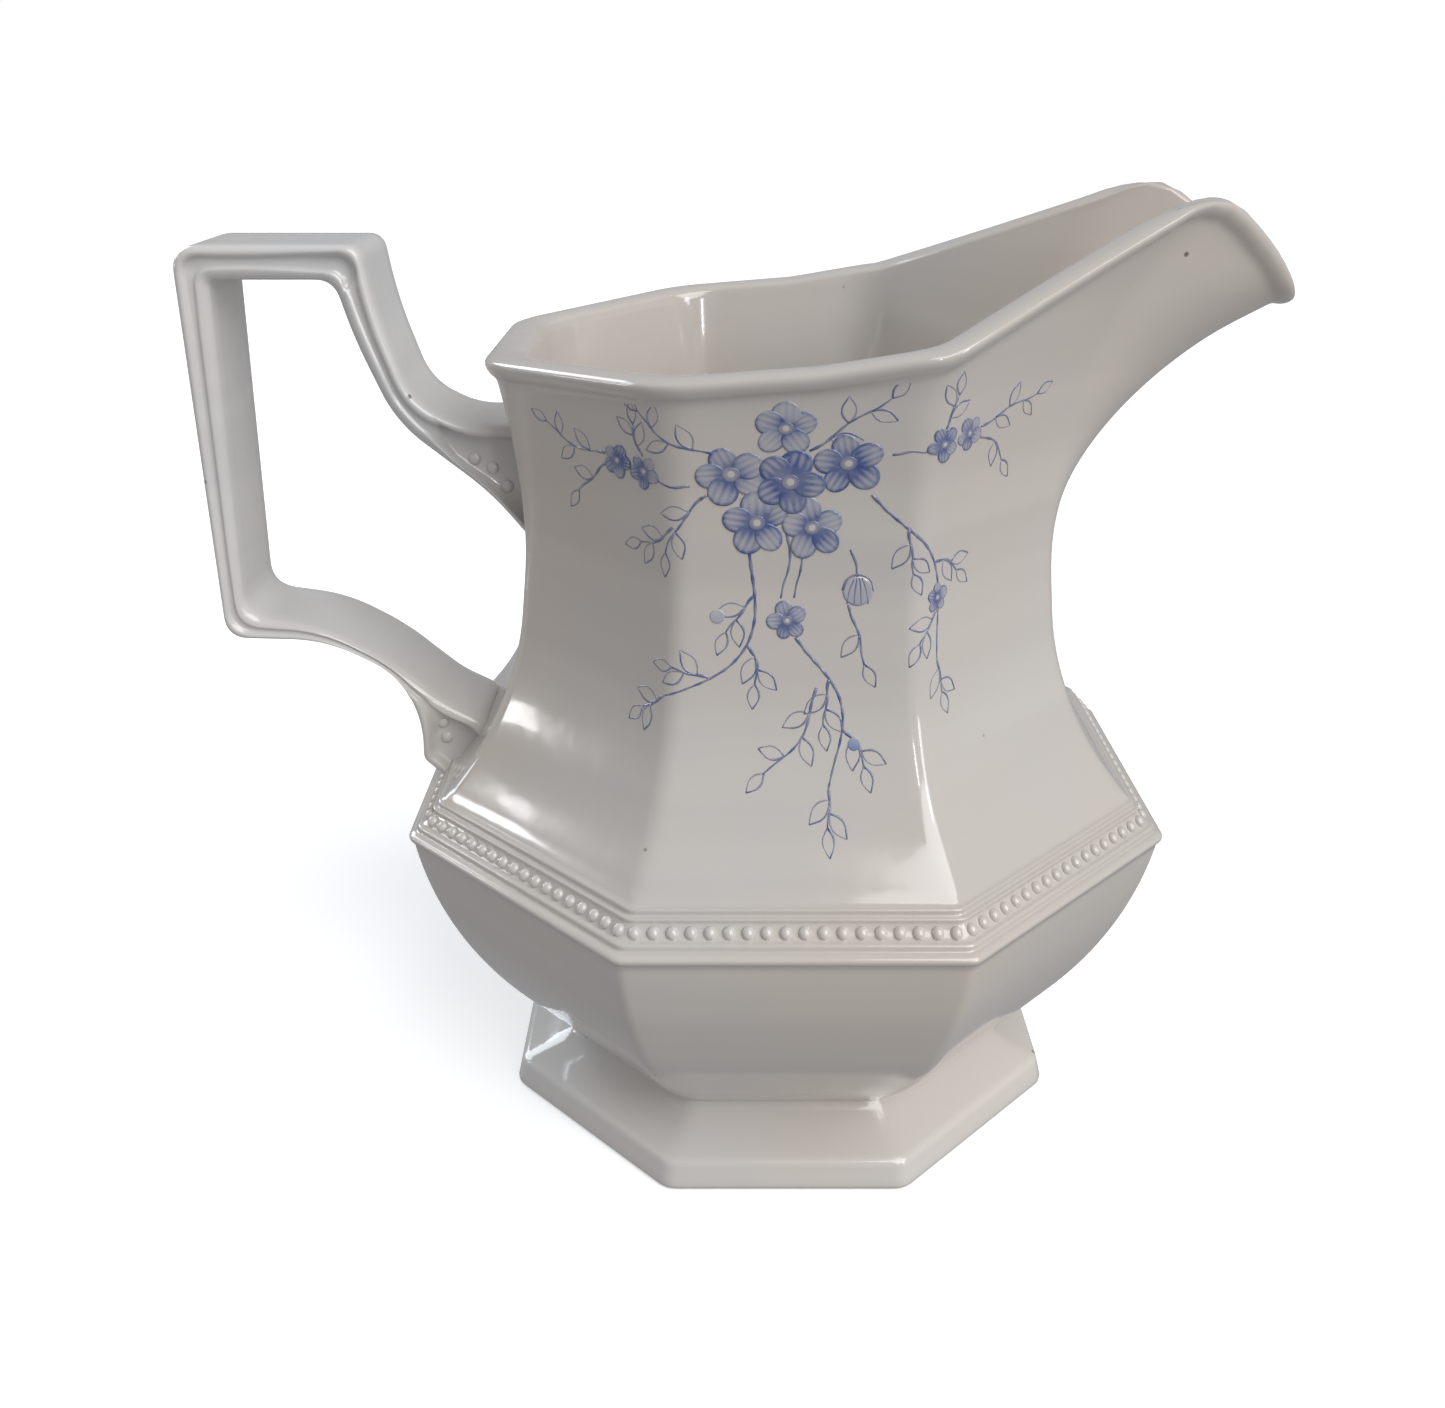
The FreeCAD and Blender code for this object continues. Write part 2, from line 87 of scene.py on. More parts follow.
FOOT_HALF = FOOT_HIGH[1] - 0.6
FOOT_JOIN = FOOT_HIGH[2]
BELT_HALF = VESSEL_HIGH[1]
BELT_BASE = BELT_LOW[2]
BELT_TOP = BELT_BASE + 5.8
BELT_TOP_HALF = BELT_HALF - 5.1
WAIST_HEIGHT = BELT_BASE + 39.2
WAIST_HALF = BELT_HALF - 16.2
JOIN_HALF = FOOT_HALF - 7.7
LIP_REACH = RIM_HIGH[0] - 1.05
LIP_SIDE = 14.0
CREST_BACK = 15.0
RIM_BACK = RIM_HIGH[2] - 18.5

# The sides draw in from the belt to the waist along an arc, then flare and lean out to the rim
DRAW_IN_MID = 8.9
DRAW_IN_MID_RISE = 16.4
DRAW_IN_END_RISE = 25.4
WAIST_EASING = 0.6
FLARE_RISE = 43.0
FLARE = 9.6
FLARE_POWER = 1.77
LIP_LEAN = 16.2
LEAN_POWER = 2.25

# The keel under the lip: how far it stands from the lip's tip, and its rise over the waist
KEEL_AT_WAIST = -29.0
KEEL_HOLLOW = (-16.8, 17.0)
KEEL_TURN = (3.0, 29.0)
KEEL_CROWN = (9.6, 34.0)
KEEL_TOP = 15.0
KEEL_SPREAD = 4.6

# The wall is the lip's own where the keel stands this far out beyond the corners beside the lip
WALL = 3.6
LIP_WALL = 2.8
LIP_WALL_FROM = 24.0
FLOOR = FOOT_JOIN + 4.2

HANDLE_REACH = STRAP_LOW[0]
HANDLE_TOP = STRAP_HIGH[2]
HANDLE_BASE = HANDLE_TOP - 50.7
STRAP_HALF = STRAP_HIGH[1]


# ---------------------------------------------------------------- curves

def smooth(points, at):
    """Values on a smooth curve through (position, value...) rows, at one or more positions."""
    rows = np.array(points, float)
    place, values = rows[:, 0], rows[:, 1:]
    slopes = np.gradient(values, place, axis=0)
    at = np.clip(np.atleast_1d(np.asarray(at, float)), place[0], place[-1])
    index = np.clip(np.searchsorted(place, at) - 1, 0, len(place) - 2)
    span = (place[index + 1] - place[index])[:, None]
    share = ((at - place[index])[:, None]) / span
    square, cube = share ** 2, share ** 3
    start = (2 * cube - 3 * square + 1) * values[index]
    end = (3 * square - 2 * cube) * values[index + 1]
    lead = (cube - 2 * square + share) * span * slopes[index]
    follow = (cube - square) * span * slopes[index + 1]
    return start + end + lead + follow


def arc_through(start, middle, end, count):
    """Points along the circle's arc through three points of a plane."""
    (ax, ay), (bx, by), (cx, cy) = start, middle, end
    turn = 2 * (ax * (by - cy) + bx * (cy - ay) + cx * (ay - by))
    a_square, b_square, c_square = ax * ax + ay * ay, bx * bx + by * by, cx * cx + cy * cy
    x = (a_square * (by - cy) + b_square * (cy - ay) + c_square * (ay - by)) / turn
    y = (a_square * (cx - bx) + b_square * (ax - cx) + c_square * (bx - ax)) / turn
    radius = math.hypot(ax - x, ay - y)
    angles = [math.atan2(py - y, px - x) for px, py in (start, middle, end)]
    swept = np.linspace(angles[0], angles[2], count)
    return [(x + radius * math.cos(a), y + radius * math.sin(a)) for a in swept]


def towards(corner, other, distance):
    """The point at a distance from a corner on the way to another point."""
    return corner + distance * (other - corner) / np.linalg.norm(other - corner)


def parabola(start, corner, end, shares):
    """Points of the parabola that rounds a corner off, at shares of the way from start to end."""
    u = np.asarray(shares)[:, None]
    return (1 - u) ** 2 * start + 2 * u * (1 - u) * corner + u ** 2 * end


# ---------------------------------------------------------------- octagonal levels

def bowed_panel(corner, keel_x, shares):
    """Points of the panel under the lip, at shares of the way from its -Y to its +Y corner.

    It is a cubic curve whose poles are set so that its middle lies on the keel.
    """
    corner_x, corner_y = corner
    pole_x = (keel_x - 0.25 * corner_x) / 0.75
    pole_y = min(corner_y / 3, KEEL_SPREAD)
    poles = np.array([[corner_x, -corner_y], [pole_x, -pole_y], [pole_x, pole_y], [corner_x, corner_y]])
    u = np.asarray(shares)[:, None]
    weights = [(1 - u) ** 3, 3 * u * (1 - u) ** 2, 3 * u ** 2 * (1 - u), u ** 3]
    return sum(weight * pole for weight, pole in zip(weights, poles))


def level_outline(half, corner_x, corner_y, keel_x, rounding):
    """One level as a closed ring of points, anticlockwise from the +Y corner beside the lip.

    Every level has the same number of points, with the eight corners rounded by the glaze.
    """
    side = EIGHTH * half
    lip_corner = (corner_x, corner_y)
    corners = np.array([
        lip_corner, (side, half), (-side, half), (-half, side),
        (-half, -side), (-side, -half), (side, -half), (corner_x, -corner_y),
    ])
    probe = 0.03
    lip_start, lip_probe = bowed_panel(lip_corner, keel_x, [0.0, probe])
    lip_share = min(0.2, rounding * probe / np.linalg.norm(lip_start - lip_probe))
    lip_ends = bowed_panel(lip_corner, keel_x, [lip_share, 1 - lip_share])
    rows = []
    for index, corner in enumerate(corners):
        first, last = index == 0, index == len(corners) - 1
        start = lip_ends[1] if first else towards(corner, corners[index - 1], rounding)
        end = lip_ends[0] if last else towards(corner, corners[index + 1], rounding)
        rows.append(parabola(start, corner, end, np.linspace(0, 1, CORNER_STEPS)))
        if last:
            shares = np.linspace(lip_share, 1 - lip_share, BOWED_STEPS + 2)[1:-1]
            rows.append(bowed_panel(lip_corner, keel_x, shares))
        else:
            following = towards(corners[index + 1], corner, rounding)
            v = np.linspace(0, 1, PANEL_STEPS + 2)[1:-1, None]
            rows.append((1 - v) * end + v * following)
    return np.concatenate(rows)


def plain_ring(half, height, rounding):
    """A regular eight-sided ring at one height, as points in space."""
    outline = level_outline(half, half, EIGHTH * half, half, rounding)
    return np.column_stack([outline, np.full(len(outline), height)])


def keel_run(rises):
    """How far the keel under the lip stands from the lip's tip, at rises above the waist."""
    hollow = arc_through((KEEL_AT_WAIST, 0.0), KEEL_HOLLOW, KEEL_TURN, 24)
    crown = arc_through(KEEL_TURN, KEEL_CROWN, (KEEL_TOP, FLARE_RISE), 16)
    runs, heights = np.array(hollow + crown[1:]).T
    return np.interp(rises, heights, runs)


def upper_levels():
    """The outer levels from the belt up past the rim: height, half size, lip corner X and Y, keel X."""
    drawn_in = arc_through((BELT_TOP_HALF, BELT_TOP),
                           (BELT_TOP_HALF - DRAW_IN_MID, BELT_TOP + DRAW_IN_MID_RISE),
                           (WAIST_HALF + WAIST_EASING, BELT_TOP + DRAW_IN_END_RISE), 6)
    rows = [(height, half, half, EIGHTH * half, half) for half, height in drawn_in]
    rises = np.linspace(0, FLARE_RISE, 12)
    for rise, keel in zip(rises, keel_run(rises)):
        share = rise / FLARE_RISE
        half = WAIST_HALF + FLARE * share ** FLARE_POWER
        corner_x = WAIST_HALF + LIP_LEAN * share ** LEAN_POWER
        rows.append((WAIST_HEIGHT + rise, half, corner_x, LIP_SIDE, LIP_REACH + keel))
    return rows


def inner_levels():
    """The inner face's levels from the belt up, set a wall's width in from the outer face.

    Where the keel stands out under the lip, the wall thins to the lip's and follows its slope.
    """
    lowest = BELT_TOP_HALF - WALL
    rows = [(BELT_TOP + 1.8, lowest, lowest, EIGHTH * lowest, lowest)]
    for height, half, corner_x, corner_y, keel_x in upper_levels()[1:]:
        if keel_x <= corner_x:
            inside = half - WALL
            rows.append((height, inside, inside, EIGHTH * inside, inside))
            continue
        steep = min(1.0, (keel_x - corner_x) / LIP_WALL_FROM)
        lift = LIP_WALL * steep
        inset = WALL + (0.5 * LIP_WALL - WALL) * steep
        rows.append((height + lift, half - WALL, corner_x - WALL + 0.4 * lift,
                     corner_y - 0.4 * WALL, keel_x - inset))
    return rows


def level_grid(levels, rounding, rim_rounding):
    """Rings of a vessel face at close heights: an array of level, place round the ring, XYZ.

    The corners keep one rounding up to the waist, and soften to another at the rim.
    """
    heights = np.arange(levels[0][0], levels[-1][0], LEVEL_STEP)
    rings = []
    for height, (half, corner_x, corner_y, keel_x) in zip(heights, smooth(levels, heights)):
        share = min(1.0, max(0.0, (height - WAIST_HEIGHT) / (RIM_BACK - WAIST_HEIGHT)))
        softened = rounding + (rim_rounding - rounding) * share ** SOFTENING_POWER
        outline = level_outline(half, corner_x, corner_y, keel_x, softened)
        rings.append(np.column_stack([outline, np.full(len(outline), height)]))
    return np.array(rings)


def rim_height(x):
    """Height of the rim line over a place along X: nearly level, up to the lip, then down to its tip."""
    climb_start, crest = 15.0, LIP_REACH - CREST_BACK
    points = [
        (-40, 0.0), (2, 3.2), (climb_start, 5.3), (climb_start + 5, 7.4), (42, 16.8),
        (crest - 2.5, 18.3), (crest, 18.6), (crest + 3.4, 17.7), (crest + 9.2, 12.6), (crest + 16, 5.3),
        (crest + 40, -22.0),
    ]
    places, rises = np.array(points).T
    return RIM_BACK + np.interp(x, places, rises)


# ---------------------------------------------------------------- vessel

# How far along its panels each kind of corner is rounded off
OUTER_ROUNDING = 1.6
RIM_ROUNDING = 3.4
INNER_ROUNDING = 2.6
INNER_RIM_ROUNDING = 4.6
BELT_ROUNDING = 0.9
FOOT_ROUNDING = 1.4
SOFTENING_POWER = 1.5

# The last ring before a flat middle is closed
MIDDLE_HALF = 8.0


class Face:
    """One face of the upper vessel: its grid of meridians, cut where the rim line crosses them."""

    def __init__(self, levels, rounding, rim_rounding):
        self.grid = level_grid(levels, rounding, rim_rounding)
        steps = np.linalg.norm(np.diff(self.grid, axis=0), axis=2)
        self.along = np.vstack([np.zeros(steps.shape[1]), np.cumsum(steps, axis=0)])
        self.length = np.array([self.crossing(place) for place in range(self.grid.shape[1])])
        self.rim = self.ring(self.length)
        tangent = np.roll(self.rim, -1, axis=0) - np.roll(self.rim, 1, axis=0)
        self.tangent = tangent / np.linalg.norm(tangent, axis=1)[:, None]
        climb = self.rim - self.ring(self.length - 1.0)
        self.climb = climb / np.linalg.norm(climb, axis=1)[:, None]
        normal = np.cross(self.tangent, self.climb)
        slant = np.linalg.norm(normal, axis=1)
        self.normal = normal / slant[:, None]
        self.slant = np.clip(slant, 0.45, 1.0)

    def crossing(self, place):
        """Distance along one meridian to where it reaches the rim line."""
        points = self.grid[:, place]
        over = points[:, 2] - rim_height(points[:, 0])
        index = int(np.argmax(over >= 0))
        share = over[index - 1] / (over[index - 1] - over[index])
        before, after = self.along[index - 1:index + 1, place]
        return before + share * (after - before)

    def ring(self, lengths):
        """The ring of points at given distances along every meridian."""
        rows = []
        for place, length in enumerate(lengths):
            along, points = self.along[:, place], self.grid[:, place]
            rows.append([np.interp(length, along, points[:, axis]) for axis in range(3)])
        return np.array(rows)

    def under_rim(self, depth, proud):
        """The ring at a depth under the rim line, measured square to it, standing proud of the face."""
        return self.ring(self.length - depth / self.slant) + proud * self.normal

    def rings_up_to(self, depth, count):
        """Evenly spaced rings from the face's lowest level up to a depth under the rim."""
        shares = np.linspace(0, 1, count)
        return [self.ring(share * (self.length - depth / self.slant)) for share in shares]


# The rolled rim: depth under the rim line, and how far proud of the outer face it stands. It meets
# the inner face at a depth of its own, and its crown rises over the middle of the two.
ROLL = [
    (3.4, 0.0), (3.0, 0.03), (2.7, 0.11), (2.4, 0.26), (2.1, 0.46), (1.75, 0.67), (1.3, 0.83), (0.9, 0.88),
    (0.5, 0.8),
]
ROLL_INSIDE = 0.9
ROLL_CROWN = 0.75

# The belt: share of the slope from the crease to the belt's top, and how proud of it the face stands
BELT = [
    (0.025, 0.30), (0.07, 0.26), (0.098, 0.06), (0.12, -0.08), (0.148, 0.02), (0.175, 0.24), (0.206, 0.34),
    (0.235, 0.24), (0.262, 0.0), (0.29, -0.12), (0.41, -0.16), (0.53, -0.12), (0.558, 0.0),
    (0.575, 0.2), (0.598, 0.34), (0.622, 0.2), (0.645, -0.02), (0.668, -0.10), (0.69, 0.0),
    (0.714, 0.24), (0.742, 0.36), (0.77, 0.22), (0.80, 0.04), (0.86, 0.0), (0.93, 0.0),
]


def belt_place(share, proud):
    """Half size and height of a place on the belt's slope."""
    run, rise = BELT_TOP_HALF - BELT_HALF, BELT_TOP - BELT_BASE
    slope = math.hypot(run, rise)
    return BELT_HALF + run * share + proud * rise / slope, BELT_BASE + rise * share - proud * run / slope


def outer_lower_rings():
    """Rings from the hidden middle of the vessel's base out and up to the top of the belt."""
    base = FOOT_JOIN - 0.3
    bowl_mid = (BELT_HALF - 6.0, FOOT_JOIN + 16.7)
    crease = (BELT_HALF - 0.12, BELT_BASE - 0.9)
    rings = [plain_ring(share * JOIN_HALF, base, 1.0) for share in (0.3, 0.65, 0.97)]
    steps = 44
    for step, (half, height) in enumerate(arc_through((JOIN_HALF, FOOT_JOIN), bowl_mid, crease, steps)):
        rounding = OUTER_ROUNDING + (BELT_ROUNDING - OUTER_ROUNDING) * step / steps
        rings.append(plain_ring(half, height, rounding))
    for out, up in ((0.12, -0.72), (0.34, -0.42), (0.42, -0.12), (0.4, 0.16)):
        rings.append(plain_ring(BELT_HALF + out, BELT_BASE + up, BELT_ROUNDING))
    for share, proud in BELT:
        half, height = belt_place(share, proud)
        rings.append(plain_ring(half, height, BELT_ROUNDING))
    return rings


def inner_lower_rings():
    """Rings from the inner face's lowest level down the bowl and in over its floor."""
    well = [
        (BELT_HALF - 5.6, BELT_TOP - 0.7), (BELT_HALF - 4.3, BELT_BASE + 3.4),
        (BELT_HALF - 3.9, BELT_BASE + 0.6), (BELT_HALF - 4.2, BELT_BASE - 2.5),
        (BELT_HALF - 5.6, BELT_BASE - 8), (BELT_HALF - 7.6, BELT_BASE - 13),
        (BELT_HALF - 10.6, FLOOR + 12.6), (BELT_HALF - 14.0, FLOOR + 7.4), (BELT_HALF - 18.4, FLOOR + 3.0),
        (BELT_HALF - 24.0, FLOOR + 0.6), (BELT_HALF - 30.0, FLOOR), (MIDDLE_HALF, FLOOR),
    ]
    steps = smooth([(place, *point) for place, point in enumerate(well)], np.linspace(0, len(well) - 1, 46))
    rings = []
    for step, (half, height) in enumerate(steps):
        rings.append(plain_ring(half, height, min(INNER_ROUNDING + 0.12 * step, 0.38 * half)))
    return rings


def closed_faces(ring_count, ring_size):
    """Quads between rings, and a fan at each end to the two middle points that follow the rings."""
    faces = []
    for ring in range(ring_count - 1):
        low, high = ring * ring_size, (ring + 1) * ring_size
        for place in range(ring_size):
            after = (place + 1) % ring_size
            faces.append((low + place, low + after, high + after, high + place))
    first_middle = ring_count * ring_size
    last = (ring_count - 1) * ring_size
    for place in range(ring_size):
        after = (place + 1) % ring_size
        faces.append((after, place, first_middle))
        faces.append((last + place, last + after, first_middle + 1))
    return faces


def solid_from_rings(rings):
    """Points and faces of a closed solid whose skin is a pile of rings closed by a fan at both ends."""
    rings = [np.asarray(ring) for ring in rings]
    points = np.concatenate(rings + [rings[0].mean(axis=0)[None], rings[-1].mean(axis=0)[None]])
    return points, closed_faces(len(rings), len(rings[0]))


def make_piece(name, points, faces, material, nodes, ink=None):
    """A smooth-shaded piece of the jug from points in millimetres, riding on the frame."""
    mesh = bpy.data.meshes.new(name)
    mesh.from_pydata((np.asarray(points) * MM).tolist(), [], [tuple(face) for face in faces])
    mesh.polygons.foreach_set("use_smooth", [True] * len(mesh.polygons))
    if ink is not None:
        layer = mesh.attributes.new("ink", "FLOAT_COLOR", "POINT")
        layer.data.foreach_set("color", np.asarray(ink, float).ravel())
    mesh.update()
    piece = bpy.data.objects.new(name, mesh)
    bpy.context.scene.collection.objects.link(piece)
    mesh.materials.append(material)
    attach(piece, "root")
    if nodes:
        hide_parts(*nodes)


def make_vessel(material, outer):
    """The bowl, neck and lip with the belt's mouldings and the rolled rim, as one glazed skin."""
    inner = Face(inner_levels(), INNER_ROUNDING, INNER_RIM_ROUNDING)
    rings = outer_lower_rings()
    rings += outer.rings_up_to(ROLL[0][0], 96)
    rings += [outer.under_rim(depth, proud) for depth, proud in ROLL[1:]]
    outside, inside = rings[-1], inner.under_rim(ROLL_INSIDE, 0.0)
    middle, half_span = (outside + inside) / 2, (outside - inside) / 2
    crown = np.cross(outer.tangent, half_span)
    crown /= -np.linalg.norm(crown, axis=1)[:, None]
    for turn in np.radians(np.linspace(0, 180, 11)[1:-1]):
        rings.append(middle + half_span * math.cos(turn) + ROLL_CROWN * crown * math.sin(turn))
    rings += inner.rings_up_to(ROLL_INSIDE, 60)[::-1]
    rings += inner_lower_rings()
    points, faces = solid_from_rings(rings)
    nodes = ("vessel_body", "rim_roll", "belt_lower_moulding", "belt_upper_moulding")
    make_piece("glazed_vessel", points, faces, material, nodes)


def make_foot(material):
    """The eight-sided foot: a plain upright edge, a hollow slope up to the bowl, a recess below."""
    edge, ring, recess = 4.4, 4.6, 5.0
    underside = [
        (-ring - 3, recess), (-ring - 0.6, recess - 0.3), (-ring, recess - 1.1), (-ring, 0.9),
        (-ring + 0.25, 0.25), (-ring + 0.8, 0.0), (-0.2, 0.0),
    ]
    upright = [
        (0.3, 0.1), (0.55, 0.4), (0.6, 0.9), (0.35, 2.0), (0.05, edge - 1.2), (-0.1, edge - 0.6),
        (-0.45, edge - 0.2),
    ]
    slope = [
        (-1.1, edge + 0.05), (-3.0, edge + 0.7), (-5.0, edge + 1.6), (-6.6, edge + 2.7), (-7.4, edge + 3.5),
        (-7.8, edge + 4.3), (-12, edge + 4.5),
    ]
    rings = [plain_ring(MIDDLE_HALF, recess, FOOT_ROUNDING)]
    for out, height in underside + upright + slope:
        rings.append(plain_ring(FOOT_HALF + out, height, FOOT_ROUNDING))
    points, faces = solid_from_rings(rings)
    make_piece("octagonal_foot", points, faces, material, ["pedestal_foot"])


# ---------------------------------------------------------------- flower print

SHEET_LIFT = 0.03
SHEET_DEPTH = 0.06
SHEET_EASED_FROM = RIM_BACK - 9.0
SHEET_EASING = 0.12
INK = (0.03, 0.07, 0.24)
PALE_INK = (0.13, 0.20, 0.40)

# The generic spray, in millimetres on the sheet, with headings and bends in degrees
PETALS = 5
LEAF_LENGTH = 3.5
LEAF_FULLNESS = 0.25
LEAF_LEAN = math.radians(52)
STEM_STEPS = 24
STEM_WAVER = 16
CLUSTER = (-1.0, RIM_BACK - 9.5)
CLUSTER_RING = 6.3
FLOWER_RADIUS = 4.1
SMALL_RADIUS = 2.4


class Sheet:
    """The transfer print, laid over the upper vessel as a sheet.

    A place on it is the distance round the vessel from the middle of the front panel, and the height.
    """

    def __init__(self, face):
        self.base = face.grid[0, 0, 2]
        self.step = face.grid[1, 0, 2] - self.base
        round_it = np.gradient(face.grid, axis=1)
        up_it = np.gradient(face.grid, axis=0)
        normal = np.cross(round_it, up_it)
        normal /= np.linalg.norm(normal, axis=2)[:, :, None]
        self.cells = np.concatenate([face.grid, normal], axis=2)
        sides = np.linalg.norm(np.diff(face.grid, axis=1), axis=2)
        self.around = np.hstack([np.zeros((len(sides), 1)), np.cumsum(sides, axis=1)])
        front_middle = 5 * (CORNER_STEPS + PANEL_STEPS) + CORNER_STEPS + PANEL_STEPS // 2
        self.around -= self.around[:, front_middle][:, None]
        self.parts = []

    def lay(self, around, height, proud):
        """The point in space of one place on the sheet, standing proud of the glaze.

        The top of the sheet is drawn in a little, so that it stops clear of the rolled rim.
        """
        height -= SHEET_EASING * max(0.0, height - SHEET_EASED_FROM)
        level = (height - self.base) / self.step
        index = int(level)
        ends = []
        for row in (index, index + 1):
            ends.append([np.interp(around, self.around[row], self.cells[row, :, axis]) for axis in range(6)])
        both = np.array(ends[0]) + (level - index) * (np.array(ends[1]) - np.array(ends[0]))
        return both[:3] + proud * both[3:]

    def add(self, places, lifts, inks, faces):
        """Keep one drawn mark: places on the sheet, each with its lift and ink, and its faces."""
        self.parts.append((places, lifts, inks, faces))

    def shells(self, side):
        """The whole print as one shell on the near (-1) or far (1) side of the jug."""
        points, faces, inks = [], [], []
        for places, lifts, part_inks, part_faces in self.parts:
            start = len(points)
            for (around, height), lift in zip(places, lifts):
                x, y, z = self.lay(around, height, lift)
                points.append((x, y * -side, z))
            inks.extend(part_inks)
            faces.extend(tuple(start + corner for corner in face[::-side]) for face in part_faces)
        return points, faces, inks


def add_disc(sheet, centre, size, turn, lift, shade):
    """A petal or berry: a slightly raised disc, inked by shade(share of the radius, angle)."""
    rings, slices = 7, 24
    places, lifts, inks, faces = [centre], [lift], [shade(0.0, 0.0)], []
    for ring in range(1, rings + 2):
        share = min(ring, rings) / rings
        for angle in np.arange(slices) * 2 * math.pi / slices:
            across, along = size[0] * share * math.cos(angle), size[1] * share * math.sin(angle)
            places.append((centre[0] + across * math.cos(turn) - along * math.sin(turn),
                           centre[1] + across * math.sin(turn) + along * math.cos(turn)))
            lifts.append(lift if ring <= rings else -SHEET_DEPTH)
            inks.append(shade(share, angle))
    for place in range(slices):
        after = (place + 1) % slices
        faces.append((0, 1 + place, 1 + after))
        for ring in range(rings):
            low = 1 + ring * slices
            faces.append((low + place, low + slices + place, low + slices + after, low + after))
    faces.append(tuple(1 + rings * slices + place for place in reversed(range(slices))))
    sheet.add(places, lifts, inks, faces)


def add_line(sheet, places, width, strength, lift=SHEET_LIFT):
    """A drawn line through a few places, thinning towards its end, a little uneven in width and ink."""
    rows = [(index, *place) for index, place in enumerate(places)]
    length = sum(math.dist(a, b) for a, b in zip(places, places[1:]))
    count = max(6, int(length / 0.45))
    run = smooth(rows, np.linspace(0, len(places) - 1, count))
    ahead = np.gradient(run, axis=0)
    square = np.column_stack([-ahead[:, 1], ahead[:, 0]]) / np.linalg.norm(ahead, axis=1)[:, None]
    corners, lifts, inks, faces = [], [], [], []
    for index in range(count):
        share = index / (count - 1)
        half = 0.5 * width * (1 - 0.45 * share) * (1 + 0.22 * math.sin(index * 1.7 + length))
        tone = strength * (0.86 + 0.14 * math.sin(index * 1.1 + 2.3 * length))
        for side, height in ((1, lift), (-1, lift), (-1, -SHEET_DEPTH), (1, -SHEET_DEPTH)):
            corners.append(run[index] + side * half * square[index])
            lifts.append(height)
            inks.append((*INK, tone))
    for index in range(count - 1):
        low = 4 * index
        for corner in range(4):
            after = (corner + 1) % 4
            faces.append((low + corner, low + after, low + 4 + after, low + 4 + corner))
    faces += [(3, 2, 1, 0), tuple(4 * (count - 1) + corner for corner in range(4))]
    sheet.add(corners, lifts, inks, faces)


def add_leaf(sheet, base, heading, length):
    """A leaf drawn in outline from its base, one side of it heavier than the other."""
    ahead = length * np.array([math.cos(heading), math.sin(heading)])
    square = np.array([-ahead[1], ahead[0]])
    base = np.array(base)
    for side, width, strength in ((1, 0.27, 0.95), (-1, 0.19, 0.75)):
        swell = side * LEAF_FULLNESS * square
        bow = [base, base + 0.3 * ahead + 0.8 * swell, base + 0.62 * ahead + 0.85 * swell, base + ahead]
        add_line(sheet, [tuple(place) for place in bow], width, strength)


def add_flower(sheet, centre, radius, strength, layer):
    """An open five-petalled flower: engraved round petals with dark edges about a small pale middle."""
    dice = random.Random(layer)
    lift = SHEET_LIFT + 0.012 * (layer % 6 + 1)
    turn = dice.uniform(0, 2)
    for petal in range(PETALS):
        facing = turn + petal * 2 * math.pi / PETALS + dice.uniform(-0.14, 0.14)
        size = radius * dice.uniform(0.38, 0.47)
        reach = radius * dice.uniform(0.5, 0.58)
        heavy = strength * dice.uniform(0.7, 1.3)
        place = (centre[0] + reach * math.cos(facing), centre[1] + reach * math.sin(facing))

        def shade(share, angle, heavy=heavy):
            inward = 0.5 - 0.5 * math.cos(angle) * share
            engraved = 0.16 * math.cos(13 * share * math.sin(angle))
            edge = max(0.0, share - 0.7) / 0.3
            tone = heavy * (0.5 + 1.1 * inward ** 3 + engraved + 0.8 * edge * (0.6 + 0.4 * math.sin(angle)))
            colour = [a + (b - a) * min(1.0, tone) for a, b in zip(PALE_INK, INK)]
            return (*colour, max(0.0, min(0.97, tone)))

        add_disc(sheet, place, (size, size * dice.uniform(0.82, 1.02)), facing, lift + 0.002 * petal, shade)
    add_disc(sheet, centre, (0.25 * radius, 0.23 * radius), 0.0, lift + 0.012,
             lambda share, angle: (*INK, min(0.95, strength) * (0.2 + 0.8 * share)))
    add_disc(sheet, centre, (0.1 * radius, 0.1 * radius), 0.0, lift + 0.014,
             lambda share, angle: (*PALE_INK, 0.0))


def add_bud(sheet, centre, radius, strength):
    """A round bud or berry, darker towards its foot."""
    add_disc(sheet, centre, (radius, radius), 0.0, SHEET_LIFT + 0.01,
             lambda share, angle: (*PALE_INK, strength * (0.7 - 0.3 * share * math.sin(angle))))


def sprig_course(start, heading, bend, length):
    """Places along a stem that bends evenly and wavers a little, and its heading at each of them."""
    shares = np.linspace(0, 1, STEM_STEPS + 1)
    headings = np.radians(heading + bend * shares + STEM_WAVER * np.sin(2 * math.pi * shares))
    steps = length / STEM_STEPS * np.column_stack([np.cos(headings), np.sin(headings)])
    places = np.array(start, float) + np.vstack([np.zeros(2), np.cumsum(steps[:-1], axis=0)])
    return places, headings


def add_sprig(sheet, start, heading, bend, length, leaves):
    """A stem with leaves on alternate sides and one at its tip."""
    places, headings = sprig_course(start, heading, bend, length)
    add_line(sheet, [tuple(place) for place in places[::4]], 0.34, 0.95)
    for leaf in range(1, leaves + 1):
        index = round(STEM_STEPS * leaf / leaves)
        lean = 0.0 if leaf == leaves else LEAF_LEAN * (-1) ** leaf
        add_leaf(sheet, places[index], headings[index] + lean, LEAF_LENGTH * (1.1 - 0.25 * leaf / leaves))


